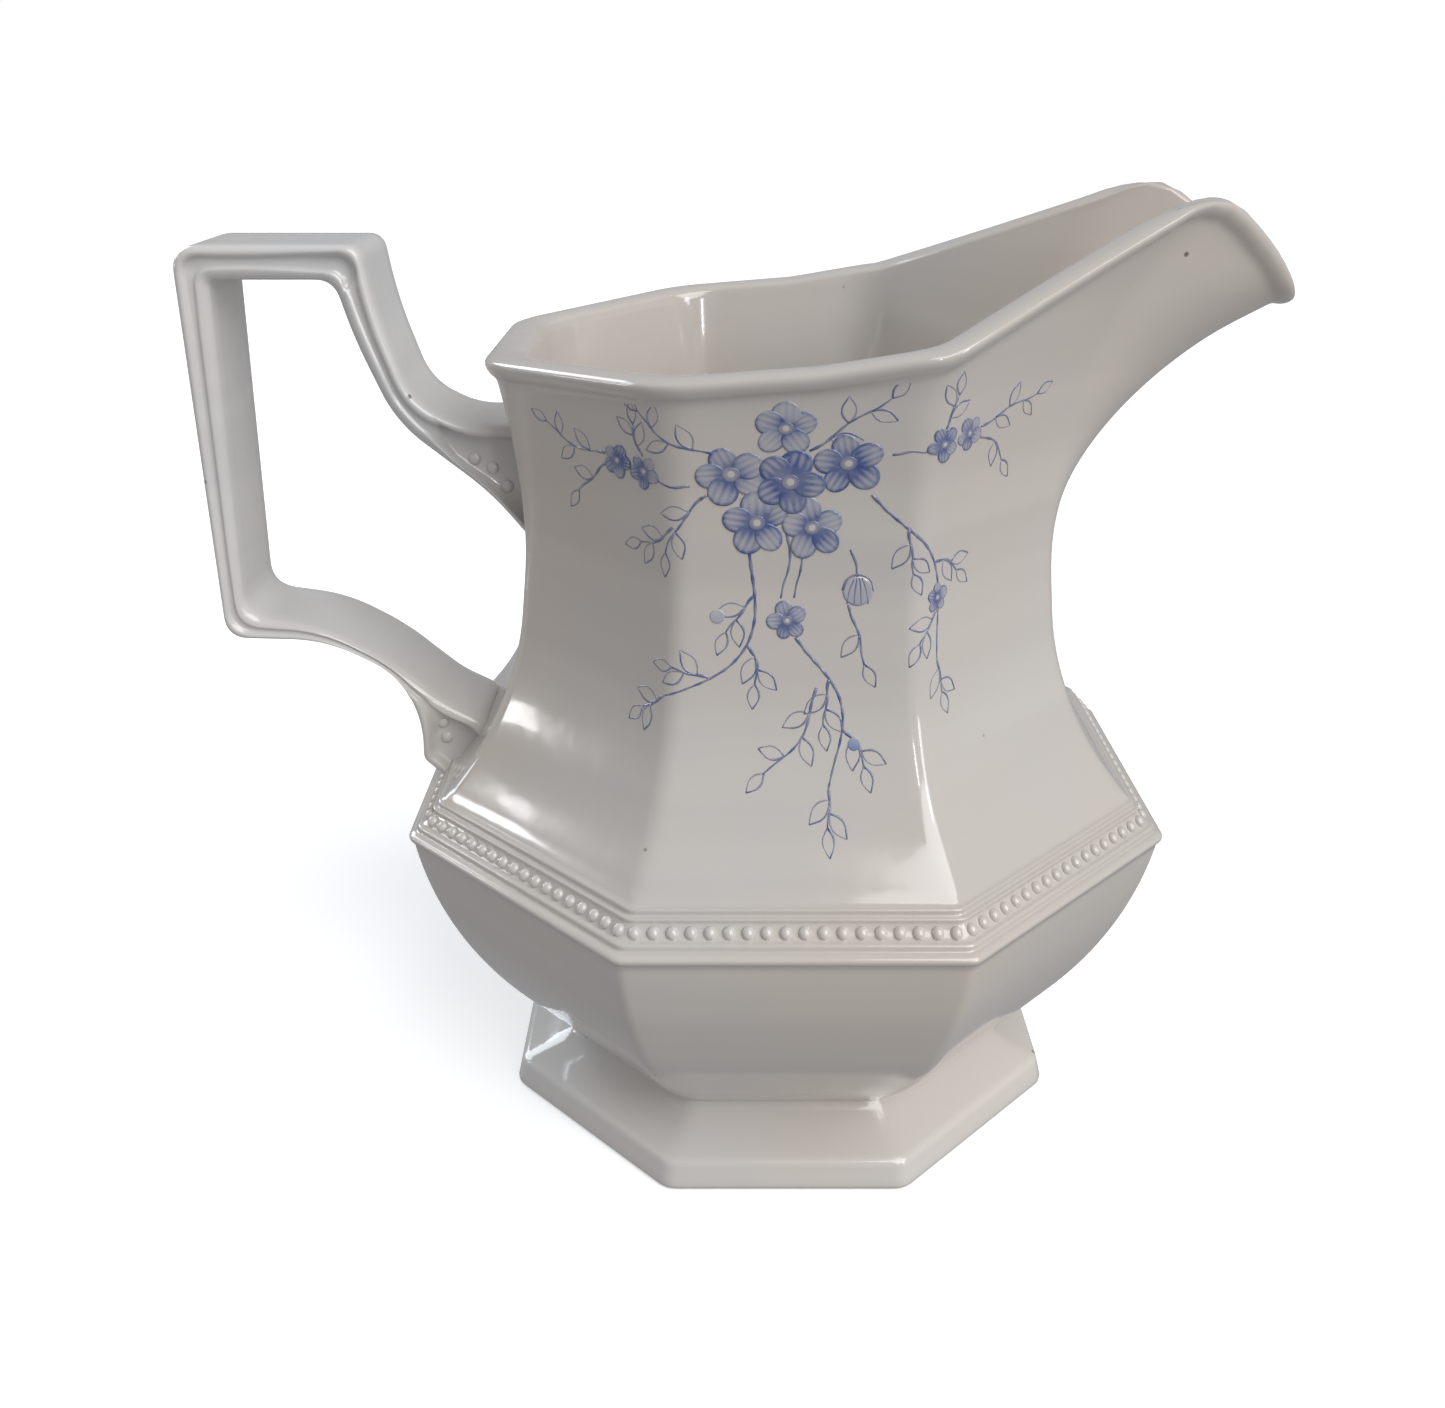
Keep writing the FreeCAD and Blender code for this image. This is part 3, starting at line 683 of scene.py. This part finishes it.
def add_cluster(sheet):
    """Six open flowers at the head of the spray: a dark one ringed by five paler ones."""
    dice = random.Random(PETALS)
    for place in range(PETALS):
        facing = math.radians(18 + 72 * place + dice.uniform(-11, 11))
        reach = CLUSTER_RING * dice.uniform(0.9, 1.12)
        centre = (CLUSTER[0] + reach * math.cos(facing), CLUSTER[1] + reach * math.sin(facing))
        add_flower(sheet, centre, FLOWER_RADIUS * dice.uniform(0.88, 1.02), dice.uniform(0.8, 1.05), place)
    add_flower(sheet, CLUSTER, FLOWER_RADIUS, 1.25, PETALS)


def add_side_branch(sheet, way, rise):
    """A pair of small flowers out to one side, with leafy sprigs beyond, above and below them."""
    pair = [(CLUSTER[0] + way * out, CLUSTER[1] + rise + lift) for out, lift in ((17.0, 0.0), (21.4, 0.6))]
    level = 90 - 90 * way
    add_sprig(sheet, (CLUSTER[0] + way * 11, CLUSTER[1] + rise - 1), level, 8 * way, 4, 1)
    add_sprig(sheet, (pair[1][0] + 2 * way, pair[1][1] + 0.5), level + 4 * way, 20 * way, 11, 4)
    add_sprig(sheet, (pair[1][0] + 2 * way, pair[1][1] - 0.8), level - 25 * way, -30 * way, 7, 2)
    add_sprig(sheet, (pair[0][0], pair[0][1] + 2), level + 60 * way, 25 * way, 4.5, 3)
    for layer, centre in enumerate(pair):
        add_flower(sheet, centre, SMALL_RADIUS, 1.1, 10 + layer + round(way))


def add_hanging_branch(sheet, start, heading, bend, length, offshoots):
    """A long drooping stem with a leafy offshoot to each side in turn, and a sprig at its end."""
    places, headings = sprig_course(start, heading, bend, length)
    add_line(sheet, [tuple(place) for place in places[::3]], 0.38, 1.0)
    for offshoot in range(offshoots):
        index = round(STEM_STEPS * (offshoot + 1) / (offshoots + 1))
        side = (-1) ** offshoot
        facing = math.degrees(headings[index]) - 55 * side
        add_sprig(sheet, places[index], facing, 30 * side, 5.5 - 0.4 * offshoot, 3)
    add_sprig(sheet, places[-1], math.degrees(headings[-1]), 15, 4.5, 3)


def add_bell(sheet, centre, radius):
    """A closed hanging flower under its calyx."""
    add_bud(sheet, centre, radius, 0.55)
    around, height = centre
    brow = [(around - radius, height + 0.1), (around - 0.7 * radius, height + 0.85 * radius),
            (around, height + 1.15 * radius), (around + 0.75 * radius, height + 0.8 * radius),
            (around + radius, height)]
    add_line(sheet, brow, 0.3, 0.85, SHEET_LIFT + 0.02)
    for lean in (-0.6, -0.2, 0.2, 0.6):
        fold = [(around + 0.4 * lean * radius, height + 0.9 * radius),
                (around + 0.9 * lean * radius, height + 0.1 * radius),
                (around + 1.15 * lean * radius, height - 0.85 * radius)]
        add_line(sheet, fold, 0.22, 0.85, SHEET_LIFT + 0.02)


def make_flower_print(material, face):
    """A hanging spray of flowers on the near side, and its mirror image on the far side."""
    sheet = Sheet(face)
    middle, top = CLUSTER
    add_sprig(sheet, (middle + 2, top + 4), 25, 28, 11, 4)
    add_sprig(sheet, (middle - 8, top + 3.5), 158, -12, 11, 4)
    add_sprig(sheet, (middle - 9, top - 1.5), 205, 62, 9, 3)
    add_sprig(sheet, (middle - 13, top - 5.5), 218, -20, 6, 3)
    add_side_branch(sheet, -1, 0.5)
    add_side_branch(sheet, 1, 4.5)
    add_hanging_branch(sheet, (middle - 4.5, top - 7.5), 276, -72, 24, 3)
    add_hanging_branch(sheet, (middle + 9, top - 1.5), 312, -35, 24, 3)
    for lean in (-4, 4):
        add_sprig(sheet, (middle + 0.1 * lean, top - 4), 270 + lean, -lean, 10, 0)
    lower = (middle, top - 16.5)
    add_hanging_branch(sheet, (lower[0] + 1, lower[1] - 2), 305, -45, 19, 2)
    add_sprig(sheet, (lower[0] + 3.5, lower[1] - 8), 250, -25, 12, 4)
    bell = (middle + 8, top - 13)
    add_sprig(sheet, (bell[0] - 1, bell[1] + 5), 280, 10, 3.4, 0)
    add_sprig(sheet, (bell[0] - 1, bell[1] - 1.6), 275, 22, 7.5, 2)
    add_cluster(sheet)
    add_flower(sheet, lower, SMALL_RADIUS, 1.2, 20)
    add_flower(sheet, (middle + 18.3, top - 14.6), 0.8 * SMALL_RADIUS, 1.0, 21)
    add_bell(sheet, bell, 1.75)
    add_bud(sheet, (middle - 8, top - 16), 0.85, 0.6)
    add_bud(sheet, (middle + 8, top - 31), 0.75, 1.2)
    for name, side in (("flower_print_near", -1), ("flower_print_far", 1)):
        points, faces, inks = sheet.shells(side)
        make_piece(name, points, faces, material, (), inks)


# ---------------------------------------------------------------- beads

# Half sizes of the beads, where the belt's row lies on its slope, and how far out in Y the webs' lie
BEADS_PER_PANEL = 18
BELT_BEAD = (0.76, 0.84, 0.62)
BELT_BEAD_SHARE = 0.408
BELT_BEAD_SUNK = 0.15
TERMINAL_BEAD = (0.85, 0.85, 0.5)
TERMINAL_BEAD_SEAT = 6.2


def dome(centre, across, along, out, sizes):
    """Points and faces of a small egg-shaped bead with the given axes and half sizes."""
    slices, stacks = 14, 8
    points, faces = [], []
    for stack in range(1, stacks):
        rise = math.pi * stack / stacks
        for turn in np.arange(slices) * 2 * math.pi / slices:
            points.append(centre + sizes[0] * math.sin(rise) * math.cos(turn) * across
                          + sizes[1] * math.sin(rise) * math.sin(turn) * along
                          - sizes[2] * math.cos(rise) * out)
    for stack in range(stacks - 2):
        for place in range(slices):
            low, after = stack * slices + place, stack * slices + (place + 1) % slices
            faces.append((low, after, after + slices, low + slices))
    bottom, top = len(points), len(points) + 1
    points += [centre - sizes[2] * out, centre + sizes[2] * out]
    last = (stacks - 2) * slices
    for place in range(slices):
        after = (place + 1) % slices
        faces += [(after, place, bottom), (last + place, last + after, top)]
    return points, faces


def joined(shells):
    """Several (points, faces) shells as one."""
    points, faces = [], []
    for shell_points, shell_faces in shells:
        start = len(points)
        points.extend(shell_points)
        faces.extend(tuple(start + corner for corner in face) for face in shell_faces)
    return points, faces


def make_belt_beads(material):
    """A row of beads in the belt's channel, the same number on every panel."""
    half, height = belt_place(BELT_BEAD_SHARE, -BELT_BEAD_SUNK)
    lean = math.atan2(BELT_TOP - BELT_BASE, BELT_HALF - BELT_TOP_HALF)
    pitch = 2 * EIGHTH * half / BEADS_PER_PANEL
    shells = []
    for panel in range(8):
        facing = panel * math.pi / 4
        level = np.array([math.cos(facing), math.sin(facing), 0.0])
        across = np.array([-math.sin(facing), math.cos(facing), 0.0])
        out = math.sin(lean) * level + np.array([0, 0, math.cos(lean)])
        along = np.cross(out, across)
        for bead in range(BEADS_PER_PANEL):
            centre = half * level + (bead - (BEADS_PER_PANEL - 1) / 2) * pitch * across
            centre[2] = height
            shells.append(dome(centre, across, along, out, BELT_BEAD))
    points, faces = joined(shells)
    make_piece("belt_beads", points, faces, material, ["belt_bead_row"])


# ---------------------------------------------------------------- handle

STRAIGHT_SHARES = np.linspace(0, 1, 8)[1:]
CORNER_SHARES = np.linspace(0, 1, 10)[1:]


def rounded_run(first, corners, last):
    """Points of a run from first to last, past (x, z, rounding) corners each rounded by a parabola."""
    stops = [np.array(stop[:2], float) for stop in (first, *corners, last)]
    points = [stops[0]]
    for index, (*_, rounding) in enumerate(corners, 1):
        start = towards(stops[index], stops[index - 1], rounding)
        end = towards(stops[index], stops[index + 1], rounding)
        points += [points[-1] + share * (start - points[-1]) for share in STRAIGHT_SHARES]
        points += list(parabola(start, stops[index], end, CORNER_SHARES))
    points += [points[-1] + share * (stops[-1] - points[-1]) for share in STRAIGHT_SHARES]
    return np.array(points)


def strap_runs():
    """The strap's outer and inner edges in the XZ plane, from the upper joint to the lower one."""
    back, top, base = HANDLE_REACH, HANDLE_TOP, HANDLE_BASE
    outer = [
        (-41.8, top - 22.0, 3.2), (-47.6, top - 18.6, 3.2), (-51.0, top - 8.2, 4.2), (-52.3, top, 1.8),
        (back, top, 3.4), (back, base, 3.0), (-61.6, base - 0.3, 4.5), (-52.5, base - 5.2, 3.8),
        (-49.8, base - 12.5, 3.6), (-50.1, base - 18.0, 0.8),
    ]
    inner = [
        (-38.4, top - 30.8, 4.0), (-49.8, top - 21.8, 4.4), (-54.4, top - 10.5, 4.2),
        (-55.9, top - 4.2, 2.4), (back + 4.0, top - 4.2, 0.9), (back + 2.7, base + 3.0, 3.4),
        (-62.2, base + 1.5, 4.2), (-53.6, base - 3.4, 4.2), (-46.2, base - 9.8, 2.2),
        (-41.5, base - 12.2, 1.2),
    ]
    outer_run = rounded_run((-32.6, top - 21.9), outer, (-47.2, base - 20.8))
    inner_run = rounded_run((-32.6, top - 38.2), inner, (-38.6, base - 17.5))
    return outer_run, inner_run


# One side of a strap 15 mm wide and 4 mm thick: each border's distance in from its own edge, and how
# far out in Y it stands. The field between the borders is sunk, and deeper in the wide webs.
OUTER_BORDER = [
    (0.0, 6.9), (0.1, 7.35), (0.35, 7.75), (0.75, 7.95), (1.15, 7.85), (1.4, 7.55), (1.55, 7.3),
]
INNER_BORDER = [
    (1.75, 7.3), (1.6, 7.5), (1.4, 7.58), (1.15, 7.5), (0.9, 7.42), (0.45, 7.15), (0.12, 6.7), (0.0, 6.2),
]
SECTION_HALF = 7.5
SECTION_THICKNESS = 4.0
OUTER_BORDER_END = 1.72
INNER_BORDER_END = 1.95
FIELD = 7.25
WEB_SUNK = 1.0
WEB_FROM = 4.6
WEB_WIDENING = 3.0


def strap_section(outer, inner):
    """The closed section of the strap between an outer and an inner edge point."""
    across = inner - outer
    thickness = np.linalg.norm(across)
    across = across / thickness
    squeeze = min(1.0, thickness / SECTION_THICKNESS)
    widening = min(1.0, max(0.0, (thickness - WEB_FROM) / WEB_WIDENING))
    field = FIELD - WEB_SUNK * widening
    side = [(place * squeeze, reach) for place, reach in OUTER_BORDER]
    start, end = OUTER_BORDER_END * squeeze, thickness - INNER_BORDER_END * squeeze
    side += [(start + share * (end - start), field) for share in (0.06, 0.5, 0.94)]
    side += [(thickness - place * squeeze, reach) for place, reach in INNER_BORDER]
    width = STRAP_HALF / SECTION_HALF
    near = [(place, -reach * width) for place, reach in side]
    far = [(place, reach * width) for place, reach in reversed(side)]
    inner_face = [(thickness, y * width) for y in (-4.0, 0.0, 4.0)]
    outer_face = [(0.0, y * width) for y in (4.6, 0.0, -4.6)]
    points = []
    for place, y in near + inner_face + far + outer_face:
        x, z = outer + place * across
        points.append((x, y, z))
    return np.array(points)


def make_handle(material):
    """The square loop of the handle with its moulded sides, spreading into a web at both joints."""
    outer, inner = strap_runs()
    rings = [strap_section(a, b) for a, b in zip(outer[::-1], inner[::-1])]
    points, faces = solid_from_rings(rings)
    nodes = ("handle_strap", "handle_border_near", "handle_border_far",
             "handle_upper_terminal", "handle_lower_terminal")
    make_piece("handle_loop", points, faces, material, nodes)


def make_terminal_beads(material):
    """Three small beads in the web at each joint, on both sides."""
    top, base = HANDLE_TOP, HANDLE_BASE
    places = [
        (-40.2, top - 26.4), (-38.0, top - 27.6), (-36.2, top - 30.0),
        (-47.6, base - 10.6), (-47.2, base - 12.9), (-46.8, base - 15.2),
    ]
    shells = []
    for x, z in places:
        for side in (-1, 1):
            centre = np.array([x, side * TERMINAL_BEAD_SEAT, z])
            out = np.array([0.0, side, 0.0])
            across, along = np.array([-side, 0.0, 0.0]), np.array([0.0, 0.0, 1.0])
            shells.append(dome(centre, across, along, out, TERMINAL_BEAD))
    points, faces = joined(shells)
    nodes = ("upper_terminal_beads", "lower_terminal_beads")
    make_piece("terminal_beads", points, faces, material, nodes)


# ---------------------------------------------------------------- glaze

def glaze(name, tint, printed=False):
    """A clear, slightly uneven glaze over a pale clay body, with small specks fired into it."""
    material = bpy.data.materials.new(name)
    material.use_nodes = True
    nodes, links = material.node_tree.nodes, material.node_tree.links
    shader = nodes["Principled BSDF"]
    place = nodes.new("ShaderNodeTexCoord")

    def noise(scale, detail, stretch=(1, 1, 1)):
        mapping = nodes.new("ShaderNodeMapping")
        mapping.inputs["Scale"].default_value = stretch
        links.new(place.outputs["Object"], mapping.inputs["Vector"])
        texture = nodes.new("ShaderNodeTexNoise")
        texture.inputs["Scale"].default_value = scale
        texture.inputs["Detail"].default_value = detail
        links.new(mapping.outputs["Vector"], texture.inputs["Vector"])
        return texture.outputs["Fac"]

    def ramp(value, *stops):
        node = nodes.new("ShaderNodeValToRGB")
        while len(node.color_ramp.elements) < len(stops):
            node.color_ramp.elements.new(0.5)
        for element, (position, colour) in zip(node.color_ramp.elements, stops):
            element.position = position
            element.color = (*colour, 1)
        links.new(value, node.inputs["Fac"])
        return node.outputs["Color"]

    def mixed(kind, factor, first, second):
        node = nodes.new("ShaderNodeMix")
        node.data_type = "RGBA"
        node.blend_type = kind
        for value, socket in ((factor, 0), (first, 6), (second, 7)):
            if hasattr(value, "links"):
                links.new(value, node.inputs[socket])
            else:
                node.inputs[socket].default_value = value
        return node.outputs[2]

    warm = tuple(channel * shift for channel, shift in zip(tint, (1.02, 0.99, 0.955)))
    cool = tuple(channel * shift for channel, shift in zip(tint, (0.965, 0.985, 1.01)))
    clouds = ramp(noise(22, 3), (0.35, cool), (0.65, warm))
    bands = ramp(noise(60, 2, (0.12, 0.12, 2.2)), (0.4, (0.93, 0.925, 0.94)), (0.62, (1.0,) * 3))
    colour = mixed("MULTIPLY", 0.7, clouds, bands)
    specks = nodes.new("ShaderNodeTexVoronoi")
    specks.inputs["Scale"].default_value = 150
    links.new(place.outputs["Object"], specks.inputs["Vector"])
    near_speck = ramp(specks.outputs["Distance"], (0.03, (1,) * 3), (0.06, (0,) * 3))
    few = ramp(specks.outputs["Color"], (0.62, (0,) * 3), (0.63, (1,) * 3))
    colour = mixed("MIX", mixed("MULTIPLY", 1.0, near_speck, few), colour, (0.16, 0.13, 0.11, 1))
    if printed:
        ink = nodes.new("ShaderNodeAttribute")
        ink.attribute_name = "ink"
        grain = ramp(noise(420, 3), (0.3, (0.72,) * 3), (0.66, (1.0,) * 3))
        strength = mixed("MULTIPLY", 1.0, grain, ink.outputs["Alpha"])
        colour = mixed("MIX", strength, colour, ink.outputs["Color"])
    links.new(colour, shader.inputs["Base Color"])
    sheen = ramp(noise(90, 4), (0.3, (0.10,) * 3), (0.75, (0.19,) * 3))
    links.new(sheen, shader.inputs["Roughness"])
    shader.inputs["IOR"].default_value = 1.52
    shader.inputs["Coat Weight"].default_value = 0.6
    shader.inputs["Coat Roughness"].default_value = 0.05
    ripple = nodes.new("ShaderNodeBump")
    ripple.inputs["Strength"].default_value = 0.06
    ripple.inputs["Distance"].default_value = 0.001
    links.new(noise(160, 2), ripple.inputs["Height"])
    links.new(ripple.outputs["Normal"], shader.inputs["Normal"])
    return material


# ---------------------------------------------------------------- stage, lights and camera

def make_floor():
    """A plain pale floor, far wider than the view, that takes the jug's shadow but lends it no light."""
    material = bpy.data.materials.new("pale_floor")
    material.use_nodes = True
    nodes, links = material.node_tree.nodes, material.node_tree.links
    shader = nodes["Principled BSDF"]
    texture = nodes.new("ShaderNodeTexNoise")
    texture.inputs["Scale"].default_value = 3
    tone = nodes.new("ShaderNodeValToRGB")
    tone.color_ramp.elements[0].color = (0.90, 0.90, 0.90, 1)
    tone.color_ramp.elements[1].color = (0.93, 0.93, 0.93, 1)
    links.new(texture.outputs["Fac"], tone.inputs["Fac"])
    links.new(tone.outputs["Color"], shader.inputs["Base Color"])
    shader.inputs["Roughness"].default_value = 0.6
    shader.inputs["Emission Color"].default_value = (1, 1, 1, 1)
    shader.inputs["Emission Strength"].default_value = 0.3
    mesh = bpy.data.meshes.new("floor")
    reach = 40.0
    corners = [(-reach, -reach, 0), (reach, -reach, 0), (reach, reach, 0), (-reach, reach, 0)]
    mesh.from_pydata(corners, [], [(0, 1, 2, 3)])
    mesh.materials.append(material)
    floor = bpy.data.objects.new("floor", mesh)
    bpy.context.scene.collection.objects.link(floor)
    floor.visible_diffuse = False
    floor.visible_glossy = False
    floor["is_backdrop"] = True


def area_light(name, place, target, width, height, power):
    """A soft rectangular light aimed at a point, sizes in metres."""
    light = bpy.data.lights.new(name, "AREA")
    light.shape = "RECTANGLE"
    light.size, light.size_y = width, height
    light.energy = power
    lamp = bpy.data.objects.new(name, light)
    bpy.context.scene.collection.objects.link(lamp)
    lamp.location = place
    lamp.rotation_euler = (Vector(target) - Vector(place)).to_track_quat("-Z", "Y").to_euler()
    return lamp


def light_the_room():
    """Soft daylight from the front right, small windows, and a cool soft box at the back left.

    The room itself is pale grey, and the camera sees a white backdrop in its place.
    """
    middle = (0.0, 0.0, 0.06)
    daylight = bpy.data.lights.new("daylight", "SUN")
    daylight.energy = 2.1
    daylight.angle = math.radians(50)
    lamp = bpy.data.objects.new("daylight", daylight)
    bpy.context.scene.collection.objects.link(lamp)
    lamp.rotation_euler = Vector((-0.5, 0.5, -0.7)).to_track_quat("-Z", "Y").to_euler()
    area_light("left_window", (-0.95, 0.06, 0.17), middle, 0.09, 0.07, 0.22)
    area_light("left_transom", (-0.9, 0.12, 0.46), middle, 0.12, 0.07, 0.3)
    area_light("right_window", (0.8, -0.64, 0.32), middle, 0.14, 0.45, 1.3)
    area_light("front_window", (0.45, -0.95, 0.36), middle, 0.05, 0.2, 0.6)
    back_left = area_light("back_left_softbox", (-0.8, 0.62, 0.55), middle, 0.6, 0.6, 6.0)
    back_left.data.color = (0.85, 0.93, 1.0)
    world = bpy.data.worlds.new("pale_room")
    world.use_nodes = True
    nodes, links = world.node_tree.nodes, world.node_tree.links
    direction = nodes.new("ShaderNodeTexCoord")
    parts = nodes.new("ShaderNodeSeparateXYZ")
    height = nodes.new("ShaderNodeMapRange")
    height.inputs["From Min"].default_value = -1.0
    tone = nodes.new("ShaderNodeValToRGB")
    stops = tone.color_ramp.elements
    stops[0].position, stops[0].color = 0.46, (0.34, 0.34, 0.35, 1)
    stops[1].position, stops[1].color = 0.5, (0.4, 0.4, 0.41, 1)
    overhead = stops.new(0.8)
    overhead.color = (0.38, 0.38, 0.39, 1)
    links.new(direction.outputs["Generated"], parts.inputs["Vector"])
    links.new(parts.outputs["Z"], height.inputs["Value"])
    links.new(height.outputs["Result"], tone.inputs["Fac"])
    links.new(tone.outputs["Color"], nodes["Background"].inputs["Color"])
    backdrop = nodes.new("ShaderNodeBackground")
    backdrop.inputs["Color"].default_value = (1, 1, 1, 1)
    seen = nodes.new("ShaderNodeLightPath")
    either = nodes.new("ShaderNodeMixShader")
    links.new(seen.outputs["Is Camera Ray"], either.inputs["Fac"])
    links.new(nodes["Background"].outputs["Background"], either.inputs[1])
    links.new(backdrop.outputs["Background"], either.inputs[2])
    links.new(either.outputs["Shader"], nodes["World Output"].inputs["Surface"])
    bpy.context.scene.world = world
    bpy.context.scene.view_settings.view_transform = "Standard"


def place_camera():
    """The camera stands close in front of the jug, looking down on it."""
    down = math.radians(23.76)
    distance = 0.2067
    target = Vector((-0.0084, 0.0, 0.0540))
    camera = bpy.data.cameras.new("camera")
    camera.lens = 36.08
    camera.sensor_width = 36
    camera.clip_start = 0.01
    view = bpy.data.objects.new("camera", camera)
    bpy.context.scene.collection.objects.link(view)
    view.location = target + distance * Vector((0, -math.cos(down), math.sin(down)))
    view.rotation_euler = (math.pi / 2 - down, 0, 0)
    bpy.context.scene.camera = view


BODY_TINT = (0.55, 0.515, 0.475)
body_glaze = glaze("body_glaze", BODY_TINT)
printed_glaze = glaze("printed_glaze", BODY_TINT, printed=True)
# Painted light: the foot has the body's own glaze, tinted lighter here to stand in for the light that falls
# on the foot
foot_glaze = glaze("foot_glaze", (0.61, 0.583, 0.55))
relief_glaze = glaze("relief_glaze", (0.58, 0.55, 0.515))
handle_glaze = glaze("handle_glaze", (0.62, 0.61, 0.595))

upper_face = Face(upper_levels(), OUTER_ROUNDING, RIM_ROUNDING)
make_vessel(body_glaze, upper_face)
make_flower_print(printed_glaze, upper_face)
make_foot(foot_glaze)
make_belt_beads(relief_glaze)
make_handle(handle_glaze)
make_terminal_beads(handle_glaze)
make_floor()
light_the_room()
place_camera()

boxes = {"cad": cad_box, "visual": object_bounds()}
{name: [[float(v) for v in corner] for corner in box] for name, box in boxes.items()}
